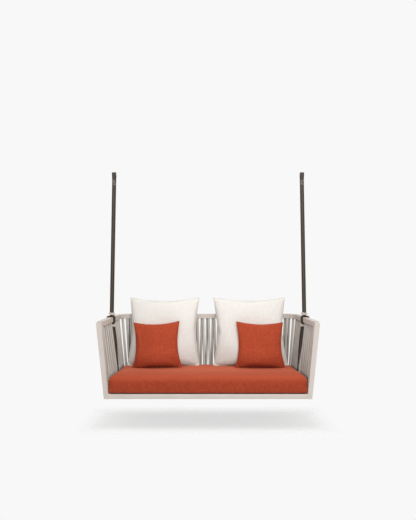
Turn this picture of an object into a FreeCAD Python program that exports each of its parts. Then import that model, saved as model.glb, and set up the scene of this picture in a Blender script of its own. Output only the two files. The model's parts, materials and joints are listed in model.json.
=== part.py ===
"""Swing bench that hangs on two straps: flared frame, rope walls, seat deck, cushions and pillows.

Millimetres, +Z up, +X to the right as seen from the front, +Y towards the back. The origin is the middle of
the hang line, the common axis of the two strap eyes. The bench hangs below it.
"""
import FreeCAD, Part
import math
import os
from types import SimpleNamespace

import Sketcher
from FreeCAD import Placement, Rotation, Vector

# Driving dimensions
SIZES = {
    # frame
    "top_half_width": 801.0,
    "depth": 700.0,
    "flare": 58.0,
    "frame_height": 552.0,
    "hang_drop": 1154.0,
    "strap_setback": 366.0,
    "rail_width": 40.0,
    "rail_height": 38.0,
    "rail_wall": 2.4,
    "rail_corner_radius": 111.0,
    "base_width": 40.0,
    "base_height": 34.0,
    "base_wall": 2.4,
    "base_corner_radius": 78.0,
    "post_top_width": 38.0,
    "post_bottom_width": 32.0,
    "post_depth": 44.0,
    "post_top_rounding": 16.0,
    "post_bottom_rounding": 5.0,
    "front_rail_depth": 36.0,
    "front_rail_wall": 10.0,
    "back_post_width": 26.0,
    "back_post_depth": 28.0,
    "back_post_wall": 3.0,
    # rope walls
    "rope_diameter": 18.0,
    "rope_side_clearance": 0.5,
    "rope_clearance": 0.6,
    "back_rope_pitch": 49.0,
    "arm_back_rope_pitch": 44.0,
    "arm_front_rope_pitch": 55.0,
    "rope_seat_depth": 16.0,
    "keeper_thickness": 4.0,
    "keeper_clearance": 0.2,
    # seat deck
    "ledge_depth": 24.0,
    "ledge_height": 16.0,
    "web_width": 60.0,
    "web_thickness": 3.0,
    "web_recess": 1.0,
    "web_end_gap": 1.0,
    "screw_diameter": 4.0,
    "screw_head_diameter": 8.0,
    "screw_head_height": 2.0,
    "screw_length": 13.0,
    "screw_inset": 12.0,
    # suspension
    "eye_half_spacing": 756.0,
    "belt_width": 28.0,
    "belt_thickness": 9.0,
    "belt_inset": 6.0,
    "thimble_radius": 9.0,
    "thimble_bore_radius": 7.0,
    "thimble_flange_radius": 11.5,
    "thimble_flange_thickness": 1.6,
    "eye_clearance": 0.05,
    "eye_side_clearance": 0.3,
    "eye_throat": 46.0,
    "flex_gap": 0.3,
    "sling_thickness": 11.0,
    "sling_clearance": 0.3,
    "cord_diameter": 9.0,
    "cord_turn_gap": 0.5,
    "cord_clearance": 0.3,
    "binding_margin": 1.5,
    "clamp_bolt_diameter": 6.0,
    "clamp_head_width": 10.0,
    "clamp_head_height": 4.0,
    # seat cushion
    "seat_front_inset": 8.0,
    "seat_back_clearance": 5.8,
    "seat_front_height": 110.0,
    "seat_back_height": 84.0,
    "seat_front_rounding": 46.0,
    "seat_back_rounding": 24.0,
    "seat_bottom_rounding": 12.0,
    "seat_crown": 9.0,
    "seat_end_length": 70.0,
    "seat_end_inset": 22.0,
    "seat_corner_ease": 8.0,
    "soft_gap": 0.3,
    "soft_tolerance": 0.2,
    "settle_margin": 5.0,
    # pillows
    "large_pillow_side_gap": 40.5,
    "large_pillow_middle_gap": 104.0,
    "large_pillow_height": 590.0,
    "large_pillow_thickness": 156.0,
    "large_pillow_draw_in": 26.0,
    "large_pillow_lean": 14.0,
    "small_pillow_width": 388.0,
    "small_pillow_height": 376.0,
    "small_pillow_thickness": 112.0,
    "small_pillow_draw_in": 20.0,
    "small_pillow_offset": 50.0,
    "small_pillow_lean": 17.0,
}

# Counts of the rope walls' corners, of the steps that a rope leans by, and of the seat deck
CORNER_STEPS = 4
ROPE_LEAN_STEPS = 0.5
CROSS_WEB_COUNT = 11
LONG_WEB_COUNT = 4
BINDING_TURNS = 2
TAIL_SECTIONS = 9

# Stations of the seat cushion's rounded end, as shares of the end's length
SEAT_END_SHARES = (0.0, 0.12, 0.35, 0.65, 1.0)

# Rounds that bring a pillow to rest, and points on each stretch of cord where its gap to itself is measured
LEAN_ROUNDS = 6
GAP_SAMPLES = 24

UP = Vector(0, 0, 1)
ALONG_X = Vector(1, 0, 0)
ALONG_Y = Vector(0, 1, 0)
SIDES = (("left", -1), ("right", 1))

doc = FreeCAD.newDocument("SwingBench")
sheet = doc.addObject("Spreadsheet::Sheet", "Sizes")
for row, (alias, value) in enumerate(SIZES.items(), start=1):
    sheet.set(f"A{row}", alias)
    sheet.set(f"B{row}", str(value))
    sheet.setAlias(f"B{row}", alias)
doc.recompute()
S = SimpleNamespace(**{alias: float(sheet.get(alias)) for alias in SIZES})

# Places that several pieces share
RAIL_TOP = -S.hang_drop
RAIL_UNDERSIDE = RAIL_TOP - S.rail_height
BASE_BOTTOM = RAIL_TOP - S.frame_height
BASE_TOP = BASE_BOTTOM + S.base_height
FRONT = -S.strap_setback
BACK = FRONT + S.depth
BASE_HALF_WIDTH = S.top_half_width - S.flare
BASE_BACK = BACK - S.flare
ROPE_TOP_END = RAIL_UNDERSIDE + S.rope_seat_depth
ROPE_BASE_END = BASE_TOP - S.rope_seat_depth
DECK_TOP = BASE_TOP - S.web_recess + S.web_thickness
BELT_X = S.top_half_width - S.rail_width / 2 - S.belt_inset

# Ropes lie in two layers, as far apart as the slots of both rails let them, and a pair of ropes nearly touches
ROPE_SLOT_HALF = min(S.rail_width / 2 - S.rail_wall, S.base_width / 2 - S.base_wall)
ROPE_SEAT_SHARE = S.rope_seat_depth / 2 / (ROPE_TOP_END - ROPE_BASE_END)
ROPE_LEAN = S.flare + (S.base_width - S.rail_width) / 2
ROPE_LAYER_OFFSET = (ROPE_SLOT_HALF - S.rope_diameter / 2 - S.rope_side_clearance
                     - abs(ROPE_LEAN) * ROPE_SEAT_SHARE)
ROPE_PAIR_OFFSET = math.sqrt(((S.rope_diameter + S.rope_clearance) / 2) ** 2 - ROPE_LAYER_OFFSET ** 2)

# Steps of the rope walls, from the middle of the back to one front post: the last rope ends half a step early
ROPE_FRONT_END = FRONT + S.post_depth + S.rope_diameter / 2 + ROPE_PAIR_OFFSET + S.keeper_clearance
BACK_STEPS = round((S.top_half_width - S.rail_corner_radius) / S.back_rope_pitch)
ARM_BACK_STEPS = round((BACK - S.rail_corner_radius) / S.arm_back_rope_pitch)
ARM_FRONT_STEPS = round(-ROPE_FRONT_END / S.arm_front_rope_pitch - ROPE_LEAN_STEPS) + ROPE_LEAN_STEPS

# The seat cushion fills the base between the arms, and the large pillows share its width
ROPE_FACE_DEPTH = S.base_width / 2 + ROPE_LAYER_OFFSET + S.rope_diameter / 2
SEAT_HALF_WIDTH = BASE_HALF_WIDTH - max(S.post_bottom_width, ROPE_FACE_DEPTH) - S.soft_gap
SEAT_FRONT = FRONT + S.seat_front_inset
SEAT_BACK = BASE_BACK - ROPE_FACE_DEPTH - S.seat_back_clearance
SEAT_BACK_CORNER = S.base_corner_radius - S.seat_corner_ease
LARGE_PILLOW_WIDTH = SEAT_HALF_WIDTH - S.large_pillow_side_gap - S.large_pillow_middle_gap / 2
LARGE_PILLOW_PLACE = (LARGE_PILLOW_WIDTH + S.large_pillow_middle_gap) / 2

# The same places as expressions of the sheet
EX_RAIL_UNDERSIDE = "(-Sizes.hang_drop - Sizes.rail_height)"
EX_BASE_BOTTOM = "(-Sizes.hang_drop - Sizes.frame_height)"
EX_FRONT = "(-Sizes.strap_setback)"
EX_POST_BACK = "(Sizes.post_depth - Sizes.strap_setback)"
EX_BACK = "(Sizes.depth - Sizes.strap_setback)"
EX_BASE_HALF = "(Sizes.top_half_width - Sizes.flare)"
EX_BASE_BACK = "(Sizes.depth - Sizes.strap_setback - Sizes.flare)"

nodes = []


def keep(obj, label):
    """Give a sub-part its own name and put it on the list of pieces."""
    obj.Label = label
    nodes.append(obj)
    return obj


def number(expression):
    """Value of an expression of the sheet."""
    return float(sheet.evalExpression(expression))


def place(obj, x, y, z):
    """Bind the three coordinates of an object's placement to expressions."""
    for axis, expression in zip("xyz", (x, y, z)):
        obj.setExpression(f"Placement.Base.{axis}", expression)


def bound(kind, name, **sizes):
    """A document object whose properties are bound to expressions."""
    obj = doc.addObject(kind, name)
    for prop, expression in sizes.items():
        obj.setExpression(prop, expression)
    return obj


def feature(label, shape):
    """A sub-part whose shape is worked out from the sheet's values."""
    obj = doc.addObject("Part::Feature", label)
    obj.Shape = shape
    obj.Placement = shape.Placement
    return keep(obj, label)


# Bent rails

def corner_band(name, turn, half_width, back, radius, width, bottom, height):
    """A quarter of a ring, for one back corner of a U-shaped band."""
    outer = bound("Part::Cylinder", f"{name}_outer", Radius=radius, Height=height)
    inner = bound("Part::Cylinder", f"{name}_inner", Radius=f"{radius} - {width}", Height=height)
    side = "-1" if turn else "1"
    for cylinder in (outer, inner):
        cylinder.Angle = 90
        cylinder.Placement = Placement(Vector(), Rotation(UP, turn))
        place(cylinder, f"{side} * ({half_width} - {radius})", f"{back} - {radius}", bottom)
    ring = doc.addObject("Part::Cut", name)
    ring.Base = outer
    ring.Tool = inner
    return ring


def u_band(name, half_width, front, back, radius, width, bottom, height):
    """A band of rectangular section along both sides and the back, with round back corners."""
    run = f"{back} - {radius} - {front}"
    left = bound("Part::Box", f"{name}_left", Length=width, Width=run, Height=height)
    place(left, f"-{half_width}", front, bottom)
    right = bound("Part::Box", f"{name}_right", Length=width, Width=run, Height=height)
    place(right, f"{half_width} - {width}", front, bottom)
    rear = bound("Part::Box", f"{name}_rear", Length=f"2 * ({half_width} - {radius})", Width=width, Height=height)
    place(rear, f"{radius} - {half_width}", f"{back} - {width}", bottom)
    shape = (half_width, back, radius, width, bottom, height)
    corners = [corner_band(f"{name}_corner{turn}", turn, *shape) for turn in (0, 90)]
    band = doc.addObject("Part::MultiFuse", name)
    band.Shapes = [left, rear, right, *corners]
    band.Refine = True
    return band


def inner_band(name, inset, half_width, back, radius, width, bottom, height):
    """A band inside a rail, an inset away from both of its faces."""
    return u_band(name, f"({half_width} - {inset})", EX_POST_BACK, f"({back} - {inset})", f"({radius} - {inset})",
                  f"({width} - 2 * {inset})", bottom, height)


def make_rail(label, outline, height, wall, bottom, open_below):
    """A bent rail with a hollow chamber and a slot for the rope ends, and the keeper strip at the slot's end."""
    slot_depth = "(Sizes.rope_seat_depth + Sizes.keeper_thickness)"
    chamber_height = f"({height} - 2 * {wall} - {slot_depth})"
    if open_below:
        slot_bottom = bottom
        chamber_bottom = f"({bottom} + {slot_depth} + {wall})"
        keeper_bottom = f"({bottom} + Sizes.rope_seat_depth)"
    else:
        slot_bottom = f"({bottom} + {height} - {slot_depth})"
        chamber_bottom = f"({bottom} + {wall})"
        keeper_bottom = slot_bottom
    body = inner_band(f"{label}_body", "0", *outline, bottom, height)
    slot = inner_band(f"{label}_slot", wall, *outline, slot_bottom, slot_depth)
    chamber = inner_band(f"{label}_chamber", wall, *outline, chamber_bottom, chamber_height)
    hollow = doc.addObject("Part::Cut", f"{label}_slotted")
    hollow.Base = body
    hollow.Tool = slot
    rail = doc.addObject("Part::Cut", label)
    rail.Base = hollow
    rail.Tool = chamber
    keep(rail, label)
    strip = inner_band(f"{label}_keeper", f"({wall} + Sizes.keeper_clearance)", *outline, keeper_bottom,
                       "Sizes.keeper_thickness")
    keep(strip, f"{label}_rope_keeper")


def make_rails():
    """Top rail and base rail, each with its keeper strip."""
    top = ("Sizes.top_half_width", EX_BACK, "Sizes.rail_corner_radius", "Sizes.rail_width")
    base = (EX_BASE_HALF, EX_BASE_BACK, "Sizes.base_corner_radius", "Sizes.base_width")
    make_rail("top_rail", top, "Sizes.rail_height", "Sizes.rail_wall", EX_RAIL_UNDERSIDE, open_below=True)
    make_rail("base_rail", base, "Sizes.base_height", "Sizes.base_wall", EX_BASE_BOTTOM, open_below=False)


# Posts and front rail

def origin_plane(body, role):
    """One of a body's own three origin planes."""
    return next(item for item in body.Origin.OriginFeatures if item.Role == role)


def bind_corner(sketch, index, axis, expression):
    """Tie one coordinate of a line's start to an expression, measured from the sketch's origin."""
    value = number(expression)
    if value < 0:
        constraint = Sketcher.Constraint(f"Distance{axis}", index, 1, -1, 1, -value)
        expression = f"-({expression})"
    else:
        constraint = Sketcher.Constraint(f"Distance{axis}", -1, 1, index, 1, value)
    sketch.setExpression(f"Constraints[{sketch.addConstraint(constraint)}]", expression)


def polygon_sketch(body, role, corners):
    """A closed outline of straight lines, with every corner bound to the sheet."""
    sketch = body.newObject("Sketcher::SketchObject", f"{body.Name}_{role}")
    sketch.AttachmentSupport = [(origin_plane(body, role), "")]
    sketch.MapMode = "FlatFace"
    points = [Vector(number(x), number(y), 0) for x, y in corners]
    for start, end in zip(points, points[1:] + points[:1]):
        sketch.addGeometry(Part.LineSegment(start, end), False)
    for index in range(len(points)):
        sketch.addConstraint(Sketcher.Constraint("Coincident", index, 2, (index + 1) % len(points), 1))
    for index, (x, y) in enumerate(corners):
        bind_corner(sketch, index, "X", x)
        bind_corner(sketch, index, "Y", y)
    return sketch


def pad(body, sketch, length, midplane=False):
    """Pad a sketch by a length that is bound to the sheet."""
    extrusion = body.newObject("PartDesign::Pad", f"{body.Name}_pad")
    extrusion.Profile = sketch
    extrusion.setExpression("Length", length)
    extrusion.Midplane = midplane
    return extrusion


def edge_names(shape, keep_edge):
    """Names of the edges whose middle point passes a test."""
    middles = [edge.valueAt((edge.FirstParameter + edge.LastParameter) / 2) for edge in shape.Edges]
    return [f"Edge{index}" for index, middle in enumerate(middles, start=1) if keep_edge(middle)]


def round_edges(body, base, keep_edge, radius):
    """Round the edges of a feature that pass a test."""
    doc.recompute()
    fillet = body.newObject("PartDesign::Fillet", f"{base.Name}_round")
    fillet.Base = (base, edge_names(base.Shape, keep_edge))
    fillet.setExpression("Radius", radius)
    return fillet


def front_post(side, sign):
    """A post that flares outwards to the top, with a round outer corner at its top and its foot."""
    body = doc.addObject("PartDesign::Body", f"{side}_front_post")
    foot = "Sizes.post_bottom_rounding"
    corners = [
        (f"{EX_BASE_HALF} - Sizes.post_bottom_width", foot),
        (EX_BASE_HALF, foot),
        ("Sizes.top_half_width", f"Sizes.frame_height + {foot}"),
        ("Sizes.top_half_width - Sizes.post_top_width", f"Sizes.frame_height + {foot}"),
    ]
    blank = pad(body, polygon_sketch(body, "XZ_Plane", corners), "Sizes.post_depth")
    top = S.frame_height + S.post_bottom_rounding
    middle = BASE_HALF_WIDTH - S.post_bottom_width / 2
    depth_middle = -S.post_depth / 2
    reach = S.post_bottom_width / 4

    def outer_top(point):
        near = abs(point.x - S.top_half_width) < reach and abs(point.z - top) < reach
        return near and abs(point.y - depth_middle) < reach

    def outer_foot(point):
        near = point.x > middle and abs(point.z - S.post_bottom_rounding) < reach
        return near and abs(point.x - BASE_HALF_WIDTH) < reach and abs(point.y - depth_middle) < reach

    crown = round_edges(body, blank, outer_top, "Sizes.post_top_rounding")
    round_edges(body, crown, outer_foot, "Sizes.post_bottom_rounding")
    lift = f"{EX_BASE_BOTTOM} - {foot}"
    if sign > 0:
        place(body, "0", EX_POST_BACK, lift)
    else:
        body.Placement = Placement(Vector(), Rotation(UP, 180))
        place(body, "0", EX_FRONT, lift)
    return keep(body, f"{side}_front_post")


def front_rail():
    """The base's front tube, cut on the slant of the posts at both ends."""
    body = doc.addObject("PartDesign::Body", "base_front_rail")
    low = "Sizes.base_height"
    slant = "(Sizes.flare - Sizes.post_top_width + Sizes.post_bottom_width) / Sizes.frame_height"
    foot_half = f"({EX_BASE_HALF} - Sizes.post_bottom_width)"
    top_half = f"({foot_half} + {slant} * Sizes.base_height)"
    corners = [
        (f"-{foot_half}", low),
        (foot_half, low),
        (top_half, f"2 * {low}"),
        (f"-{top_half}", f"2 * {low}"),
    ]
    blank = pad(body, polygon_sketch(body, "XZ_Plane", corners), "Sizes.front_rail_depth")
    wall = "Sizes.front_rail_wall"
    hollow = [
        (f"{wall} - Sizes.front_rail_depth", f"{low} + {wall}"),
        (f"-{wall}", f"{low} + {wall}"),
        (f"-{wall}", f"2 * {low} - {wall}"),
        (f"{wall} - Sizes.front_rail_depth", f"2 * {low} - {wall}"),
    ]
    bore = body.newObject("PartDesign::Pocket", "front_rail_bore")
    bore.Profile = polygon_sketch(body, "YZ_Plane", hollow)
    bore.Type = "ThroughAll"
    bore.Midplane = True
    doc.recompute()
    if bore.Shape.Volume >= blank.Shape.Volume:
        raise RuntimeError("the front rail's bore cuts nothing")
    place(body, "0", f"{EX_FRONT} + Sizes.front_rail_depth", f"{EX_BASE_BOTTOM} - {low}")
    return keep(body, "base_front_rail")


# Paths of the rope walls

class WallPath:
    """Middle line of a rail, measured along its length from the middle of the back."""

    def __init__(self, half_width, back, radius, front_end):
        self.half_width = half_width
        self.back = back
        self.radius = radius
        self.straight = half_width - radius
        self.arc = radius * math.pi / 2
        self.knots = [0.0, self.straight, self.straight + self.arc]
        for y in (0.0, front_end):
            self.knots.append(self.straight + self.arc + back - radius - y)

    def length_at(self, step):
        """Length from the middle of the back to a step, with its sign."""
        counts = (BACK_STEPS, CORNER_STEPS, ARM_BACK_STEPS, ARM_FRONT_STEPS)
        rest = abs(step)
        for index, count in enumerate(counts):
            if rest <= count or index == len(counts) - 1:
                start, end = self.knots[index], self.knots[index + 1]
                return math.copysign(start + (end - start) * rest / count, step)
            rest -= count

    def point(self, length, inward):
        """Plan point at a length along the line, moved inwards across it."""
        side = math.copysign(1.0, length)
        run = abs(length)
        if run <= self.straight:
            x, y, normal = run, self.back, (0.0, -1.0)
        elif run <= self.straight + self.arc:
            angle = (run - self.straight) / self.radius
            x = self.straight + self.radius * math.sin(angle)
            y = self.back - self.radius + self.radius * math.cos(angle)
            normal = (-math.sin(angle), -math.cos(angle))
        else:
            x = self.half_width
            y = self.back - self.radius - (run - self.straight - self.arc)
            normal = (-1.0, 0.0)
        return side * (x + inward * normal[0]), y + inward * normal[1]


TOP_PATH = WallPath(S.top_half_width - S.rail_width / 2, BACK - S.rail_width / 2,
                    S.rail_corner_radius - S.rail_width / 2, ROPE_FRONT_END)
BASE_PATH = WallPath(BASE_HALF_WIDTH - S.base_width / 2, BASE_BACK - S.base_width / 2,
                     S.base_corner_radius - S.base_width / 2, ROPE_FRONT_END)
CORNER_POST_STEP = BACK_STEPS + CORNER_STEPS / 2
STRAP_STEP = BACK_STEPS + CORNER_STEPS + ARM_BACK_STEPS
LAST_STEP = int(STRAP_STEP + ARM_FRONT_STEPS)


def slope_shift(top, base):
    """Plan shift of a leaning piece over half of the depth that it sits in a rail."""
    return (top - base) * ROPE_SEAT_SHARE


def leaning_prism(base_point, top_point, outline):
    """A prism between the two keepers with level ends, centred in the mouths of both rails."""
    base = Vector(*base_point, ROPE_BASE_END)
    top = Vector(*top_point, ROPE_TOP_END)
    shift = slope_shift(top, base)
    shift.z = 0
    foot = base - shift
    return Part.Face(outline(foot)).extrude(top + shift - foot)


def rope_strand(step, layer):
    """One rope: the inner layer leans to the right on its way down, the outer layer to the left."""
    lean = ROPE_LEAN_STEPS * layer
    inward = ROPE_LAYER_OFFSET * layer
    aside = ROPE_PAIR_OFFSET * layer
    top = TOP_PATH.point(TOP_PATH.length_at(step) + aside, inward)
    base = BASE_PATH.point(BASE_PATH.length_at(step + lean) - aside, inward)
    return leaning_prism(base, top, lambda foot: Part.Wire(Part.Circle(foot, UP, S.rope_diameter / 2).toShape()))


def has_strand(step, layer):
    """A rope is left out for the corner posts, and where a strap goes through the wall."""
    base_step = abs(step + ROPE_LEAN_STEPS * layer)
    by_post = abs(base_step - CORNER_POST_STEP) < 1 and abs(abs(step) - CORNER_POST_STEP) < 2
    past_end = base_step > LAST_STEP + ROPE_LEAN_STEPS
    return abs(step) != STRAP_STEP and not by_post and not past_end


def wall_of(step):
    """Name of the wall that a rope belongs to."""
    if abs(step) <= BACK_STEPS:
        return "back"
    side = "left" if step < 0 else "right"
    return f"{side}_corner" if abs(step) < BACK_STEPS + CORNER_STEPS else f"{side}_arm"


def make_ropes():
    """All ropes, one node for each wall and layer."""
    groups = {}
    for layer, layer_name in ((1, "inner"), (-1, "outer")):
        for step in range(-LAST_STEP, LAST_STEP + 1):
            if has_strand(step, layer):
                groups.setdefault(f"{wall_of(step)}_ropes_{layer_name}", []).append(rope_strand(step, layer))
    for label, strands in groups.items():
        feature(label, Part.makeCompound(strands))


def square_outline(centre, angle, width, depth):
    """A rectangle in plan, turned about its centre."""
    turn = Rotation(UP, math.degrees(angle))
    signs = ((-1, -1), (1, -1), (1, 1), (-1, 1))
    points = [centre + turn.multVec(Vector(i * width / 2, j * depth / 2, 0)) for i, j in signs]
    return Part.makePolygon(points + points[:1])


def back_post(side, sign):
    """A leaning post in the middle of a back corner, between the rails."""
    top = TOP_PATH.point(sign * TOP_PATH.length_at(CORNER_POST_STEP), 0.0)
    base = BASE_PATH.point(sign * BASE_PATH.length_at(CORNER_POST_STEP), 0.0)
    angle = -sign * math.pi / 4

    def tube(inset):
        width, depth = S.back_post_width - inset, S.back_post_depth - inset
        return leaning_prism(base, top, lambda foot: square_outline(foot, angle, width, depth))

    return feature(f"{side}_back_post", tube(0.0).cut(tube(2 * S.back_post_wall)))


# Seat deck

def spread(count, half_length):
    """Even places over a length, half a space from each end."""
    space = 2 * half_length / count
    return [space * (index + 0.5) - half_length for index in range(count)]


def screw(point):
    """A countersunk screw whose head lies flush with a point, pointing down."""
    head = Part.makeCone(S.screw_diameter / 2, S.screw_head_diameter / 2, S.screw_head_height,
                         point - UP * S.screw_head_height, UP)
    shank_length = S.screw_length - S.screw_head_height
    shank = Part.makeCylinder(S.screw_diameter / 2, shank_length, point - UP * S.screw_length, UP)
    return head.fuse(shank).removeSplitter()


def make_deck():
    """Webbing from front to back over webbing from side to side, screwed to ledges inside the base."""
    inner_half = BASE_HALF_WIDTH - S.base_width
    inner_front = FRONT + S.front_rail_depth
    inner_back = BASE_BACK - S.base_width
    depth = inner_back - inner_front
    cross_bottom = DECK_TOP - S.web_thickness
    long_bottom = cross_bottom - S.web_thickness
    corner = S.base_corner_radius - S.base_width

    front_ledge_half = inner_half - S.ledge_depth - S.web_end_gap
    back_ledge_half = inner_half - max(corner, S.ledge_depth) - S.web_end_gap
    web_half = min(front_ledge_half, back_ledge_half)

    def ledge(x, y, length, width, top):
        return Part.makeBox(length, width, S.ledge_height, Vector(x, y, top - S.ledge_height))

    ledges = {
        "front_seat_ledge": ledge(-front_ledge_half, inner_front, 2 * front_ledge_half, S.ledge_depth, cross_bottom),
        "back_seat_ledge": ledge(-back_ledge_half, inner_back - S.ledge_depth, 2 * back_ledge_half, S.ledge_depth,
                                 cross_bottom),
    }
    side_start = FRONT + S.post_depth
    side_length = inner_back - corner - side_start
    for side, sign in SIDES:
        x = sign * (inner_half - S.ledge_depth / 2) - S.ledge_depth / 2
        ledges[f"{side}_seat_ledge"] = ledge(x, side_start, S.ledge_depth, side_length, long_bottom)

    cross, long, screws = [], [], []
    web_length = depth - 2 * S.web_end_gap
    for x in spread(CROSS_WEB_COUNT, web_half):
        start = Vector(x - S.web_width / 2, inner_front + S.web_end_gap, cross_bottom)
        cross.append(Part.makeBox(S.web_width, web_length, S.web_thickness, start))
        for y in (inner_front + S.screw_inset, inner_back - S.screw_inset):
            screws.append(screw(Vector(x, y, DECK_TOP)))
    long_length = 2 * (inner_half - S.web_end_gap)
    for y in spread(LONG_WEB_COUNT, (side_length - S.web_width) / 2):
        centre = y + side_start + side_length / 2
        start = Vector(-long_length / 2, centre - S.web_width / 2, long_bottom)
        long.append(Part.makeBox(long_length, S.web_width, S.web_thickness, start))
        for side, sign in SIDES:
            screws.append(screw(Vector(sign * (inner_half - S.screw_inset), centre, cross_bottom)))

    fasteners = Part.makeCompound(screws)
    for label, solid in ledges.items():
        feature(label, solid.cut(fasteners))
    feature("deck_cross_webs", Part.makeCompound([web.cut(fasteners) for web in cross]))
    feature("deck_long_webs", Part.makeCompound([web.cut(fasteners) for web in long]))
    feature("deck_screws", fasteners)


# Suspension

def arc_between(start, control, end):
    """Circular arc from start to end that touches both lines to the control point."""
    half_turn = (control - start).getAngle(end - control) / 2
    weight = math.cos(half_turn)
    middle = (start + control * (2 * weight) + end) * (1 / (2 + 2 * weight))
    return Part.Arc(start, middle, end).toShape()


def rounded_outline(points, radii):
    """Closed wire of straight lines with a tangent arc at each corner that has a radius."""
    edges, ends = [], []
    count = len(points)
    for index, (point, radius) in enumerate(zip(points, radii)):
        before = (points[index - 1] - point).normalize()
        after = (points[(index + 1) % count] - point).normalize()
        reach = radius / math.tan(before.getAngle(after) / 2)
        ends.append((point + before * reach, point, point + after * reach, radius))
    for index, (start, corner, end, radius) in enumerate(ends):
        if radius > 0:
            edges.append(arc_between(start, corner, end))
        following = ends[(index + 1) % count][0]
        edges.append(Part.LineSegment(end, following).toShape())
    return Part.Wire(edges)


BINDING_CLIMB = S.cord_diameter + S.cord_turn_gap
BINDING_RADIUS = math.hypot(S.belt_thickness / 2, S.belt_thickness / 2) + S.cord_clearance + S.cord_diameter / 2
BINDING_RUN = S.belt_width - S.belt_thickness
BINDING_TURN = 2 * BINDING_RUN + 2 * math.pi * BINDING_RADIUS
BINDING_RISE = BINDING_CLIMB * (BINDING_TURNS + BINDING_RUN / BINDING_TURN)
BINDING_HEIGHT = BINDING_RISE + S.cord_diameter
SLING_TOP = RAIL_TOP + S.sling_clearance + S.sling_thickness
SLING_UNDERSIDE = RAIL_UNDERSIDE - S.sling_clearance - S.sling_thickness
UPPER_BINDING = SLING_TOP + S.binding_margin
LOWER_BINDING = SLING_UNDERSIDE - S.binding_margin - BINDING_HEIGHT
BELT_TOP = UPPER_BINDING + BINDING_HEIGHT + S.binding_margin
FLEX_AXIS = BELT_TOP + S.flex_gap + S.belt_thickness / 2
BELT_BOTTOM = LOWER_BINDING - S.binding_margin


def mirrored(solid, sign):
    """The piece itself on the right, its mirror image on the left."""
    return solid if sign > 0 else solid.mirror(Vector(), ALONG_X)


def thimble(side, sign):
    """Flanged steel tube that lines a strap's eye."""
    body = doc.addObject("PartDesign::Body", f"{side}_thimble")
    half = "(Sizes.belt_width / 2 + Sizes.eye_side_clearance)"
    end = f"({half} + Sizes.thimble_flange_thickness)"
    bore, tube, flange = "Sizes.thimble_bore_radius", "Sizes.thimble_radius", "Sizes.thimble_flange_radius"
    profile = [(f"-{end}", bore), (end, bore), (end, flange), (half, flange), (half, tube),
               (f"-{half}", tube), (f"-{half}", flange), (f"-{end}", flange)]
    sketch = polygon_sketch(body, "XY_Plane", profile)
    ring = body.newObject("PartDesign::Revolution", f"{side}_thimble_ring")
    ring.Profile = sketch
    ring.ReferenceAxis = (sketch, ["H_Axis"])
    ring.Angle = 360
    place(body, f"{sign} * Sizes.eye_half_spacing", "0", "0")
    return keep(body, f"{side}_thimble")


def upper_strap(side, sign):
    """Sewn eye, tapered throat and straight run of a strap, down to where it bends above the rail."""
    eye_radius = S.thimble_radius + S.eye_clearance
    outer = eye_radius + S.belt_thickness / 2
    half_width = S.belt_width / 2
    half_thickness = S.belt_thickness / 2
    loop = Part.makeCylinder(outer, S.belt_width, Vector(S.eye_half_spacing - half_width, 0, 0), ALONG_X)
    touch = math.asin((outer - half_thickness) / S.eye_throat)
    shoulder = Vector(0, outer * math.cos(touch), -outer * math.sin(touch))
    waist = Vector(0, half_thickness, -S.eye_throat)
    throat_points = [shoulder, waist, Vector(0, -waist.y, waist.z), Vector(0, -shoulder.y, shoulder.z), shoulder]
    throat = Part.Face(Part.makePolygon(throat_points)).extrude(ALONG_X * S.belt_width)
    throat.translate(ALONG_X * (S.eye_half_spacing - half_width))
    top = square_outline(Vector(S.eye_half_spacing, 0, -S.eye_throat), 0.0, S.belt_width, S.belt_thickness)
    run = Part.Face(top).extrude(Vector(BELT_X - S.eye_half_spacing, 0, FLEX_AXIS + S.eye_throat))
    end = Part.makeCylinder(half_thickness, S.belt_width, Vector(BELT_X - half_width, 0, FLEX_AXIS), ALONG_X)
    bore = Part.makeCylinder(eye_radius, S.belt_width, Vector(S.eye_half_spacing - half_width, 0, 0), ALONG_X)
    strap = loop.multiFuse([throat, run, end]).cut(bore).removeSplitter()
    return feature(f"{side}_strap", mirrored(strap, sign))


def strap_sling(side, sign):
    """The strap at the rail: its halves part above the rail, go down both of its faces and join again below."""
    half = S.belt_width / 2
    y = -S.belt_thickness / 2
    reach = S.sling_clearance + S.sling_thickness
    outside = S.top_half_width + reach
    inside = S.top_half_width - S.rail_width - reach
    outline = [(BELT_X - half, BELT_BOTTOM), (BELT_X + half, BELT_BOTTOM), (BELT_X + half, SLING_UNDERSIDE),
               (outside, SLING_UNDERSIDE), (outside, SLING_TOP), (BELT_X + half, SLING_TOP),
               (BELT_X + half, BELT_TOP), (BELT_X - half, BELT_TOP), (BELT_X - half, SLING_TOP),
               (inside, SLING_TOP), (inside, SLING_UNDERSIDE), (BELT_X - half, SLING_UNDERSIDE)]
    bends = (outside, inside)
    points = [Vector(x, y, z) for x, z in outline]
    radii = [S.sling_thickness if x in bends else 0.0 for x, _ in outline]
    belt = Part.Face(rounded_outline(points, radii)).extrude(ALONG_Y * S.belt_thickness)
    window_height = S.rail_height + 2 * S.sling_clearance
    window = Part.makeBox(S.rail_width + 2 * S.sling_clearance, S.belt_thickness, window_height,
                          Vector(inside + S.sling_thickness, y, RAIL_UNDERSIDE - S.sling_clearance))
    return feature(f"{side}_strap_sling", mirrored(belt.cut(window), sign))


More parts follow.
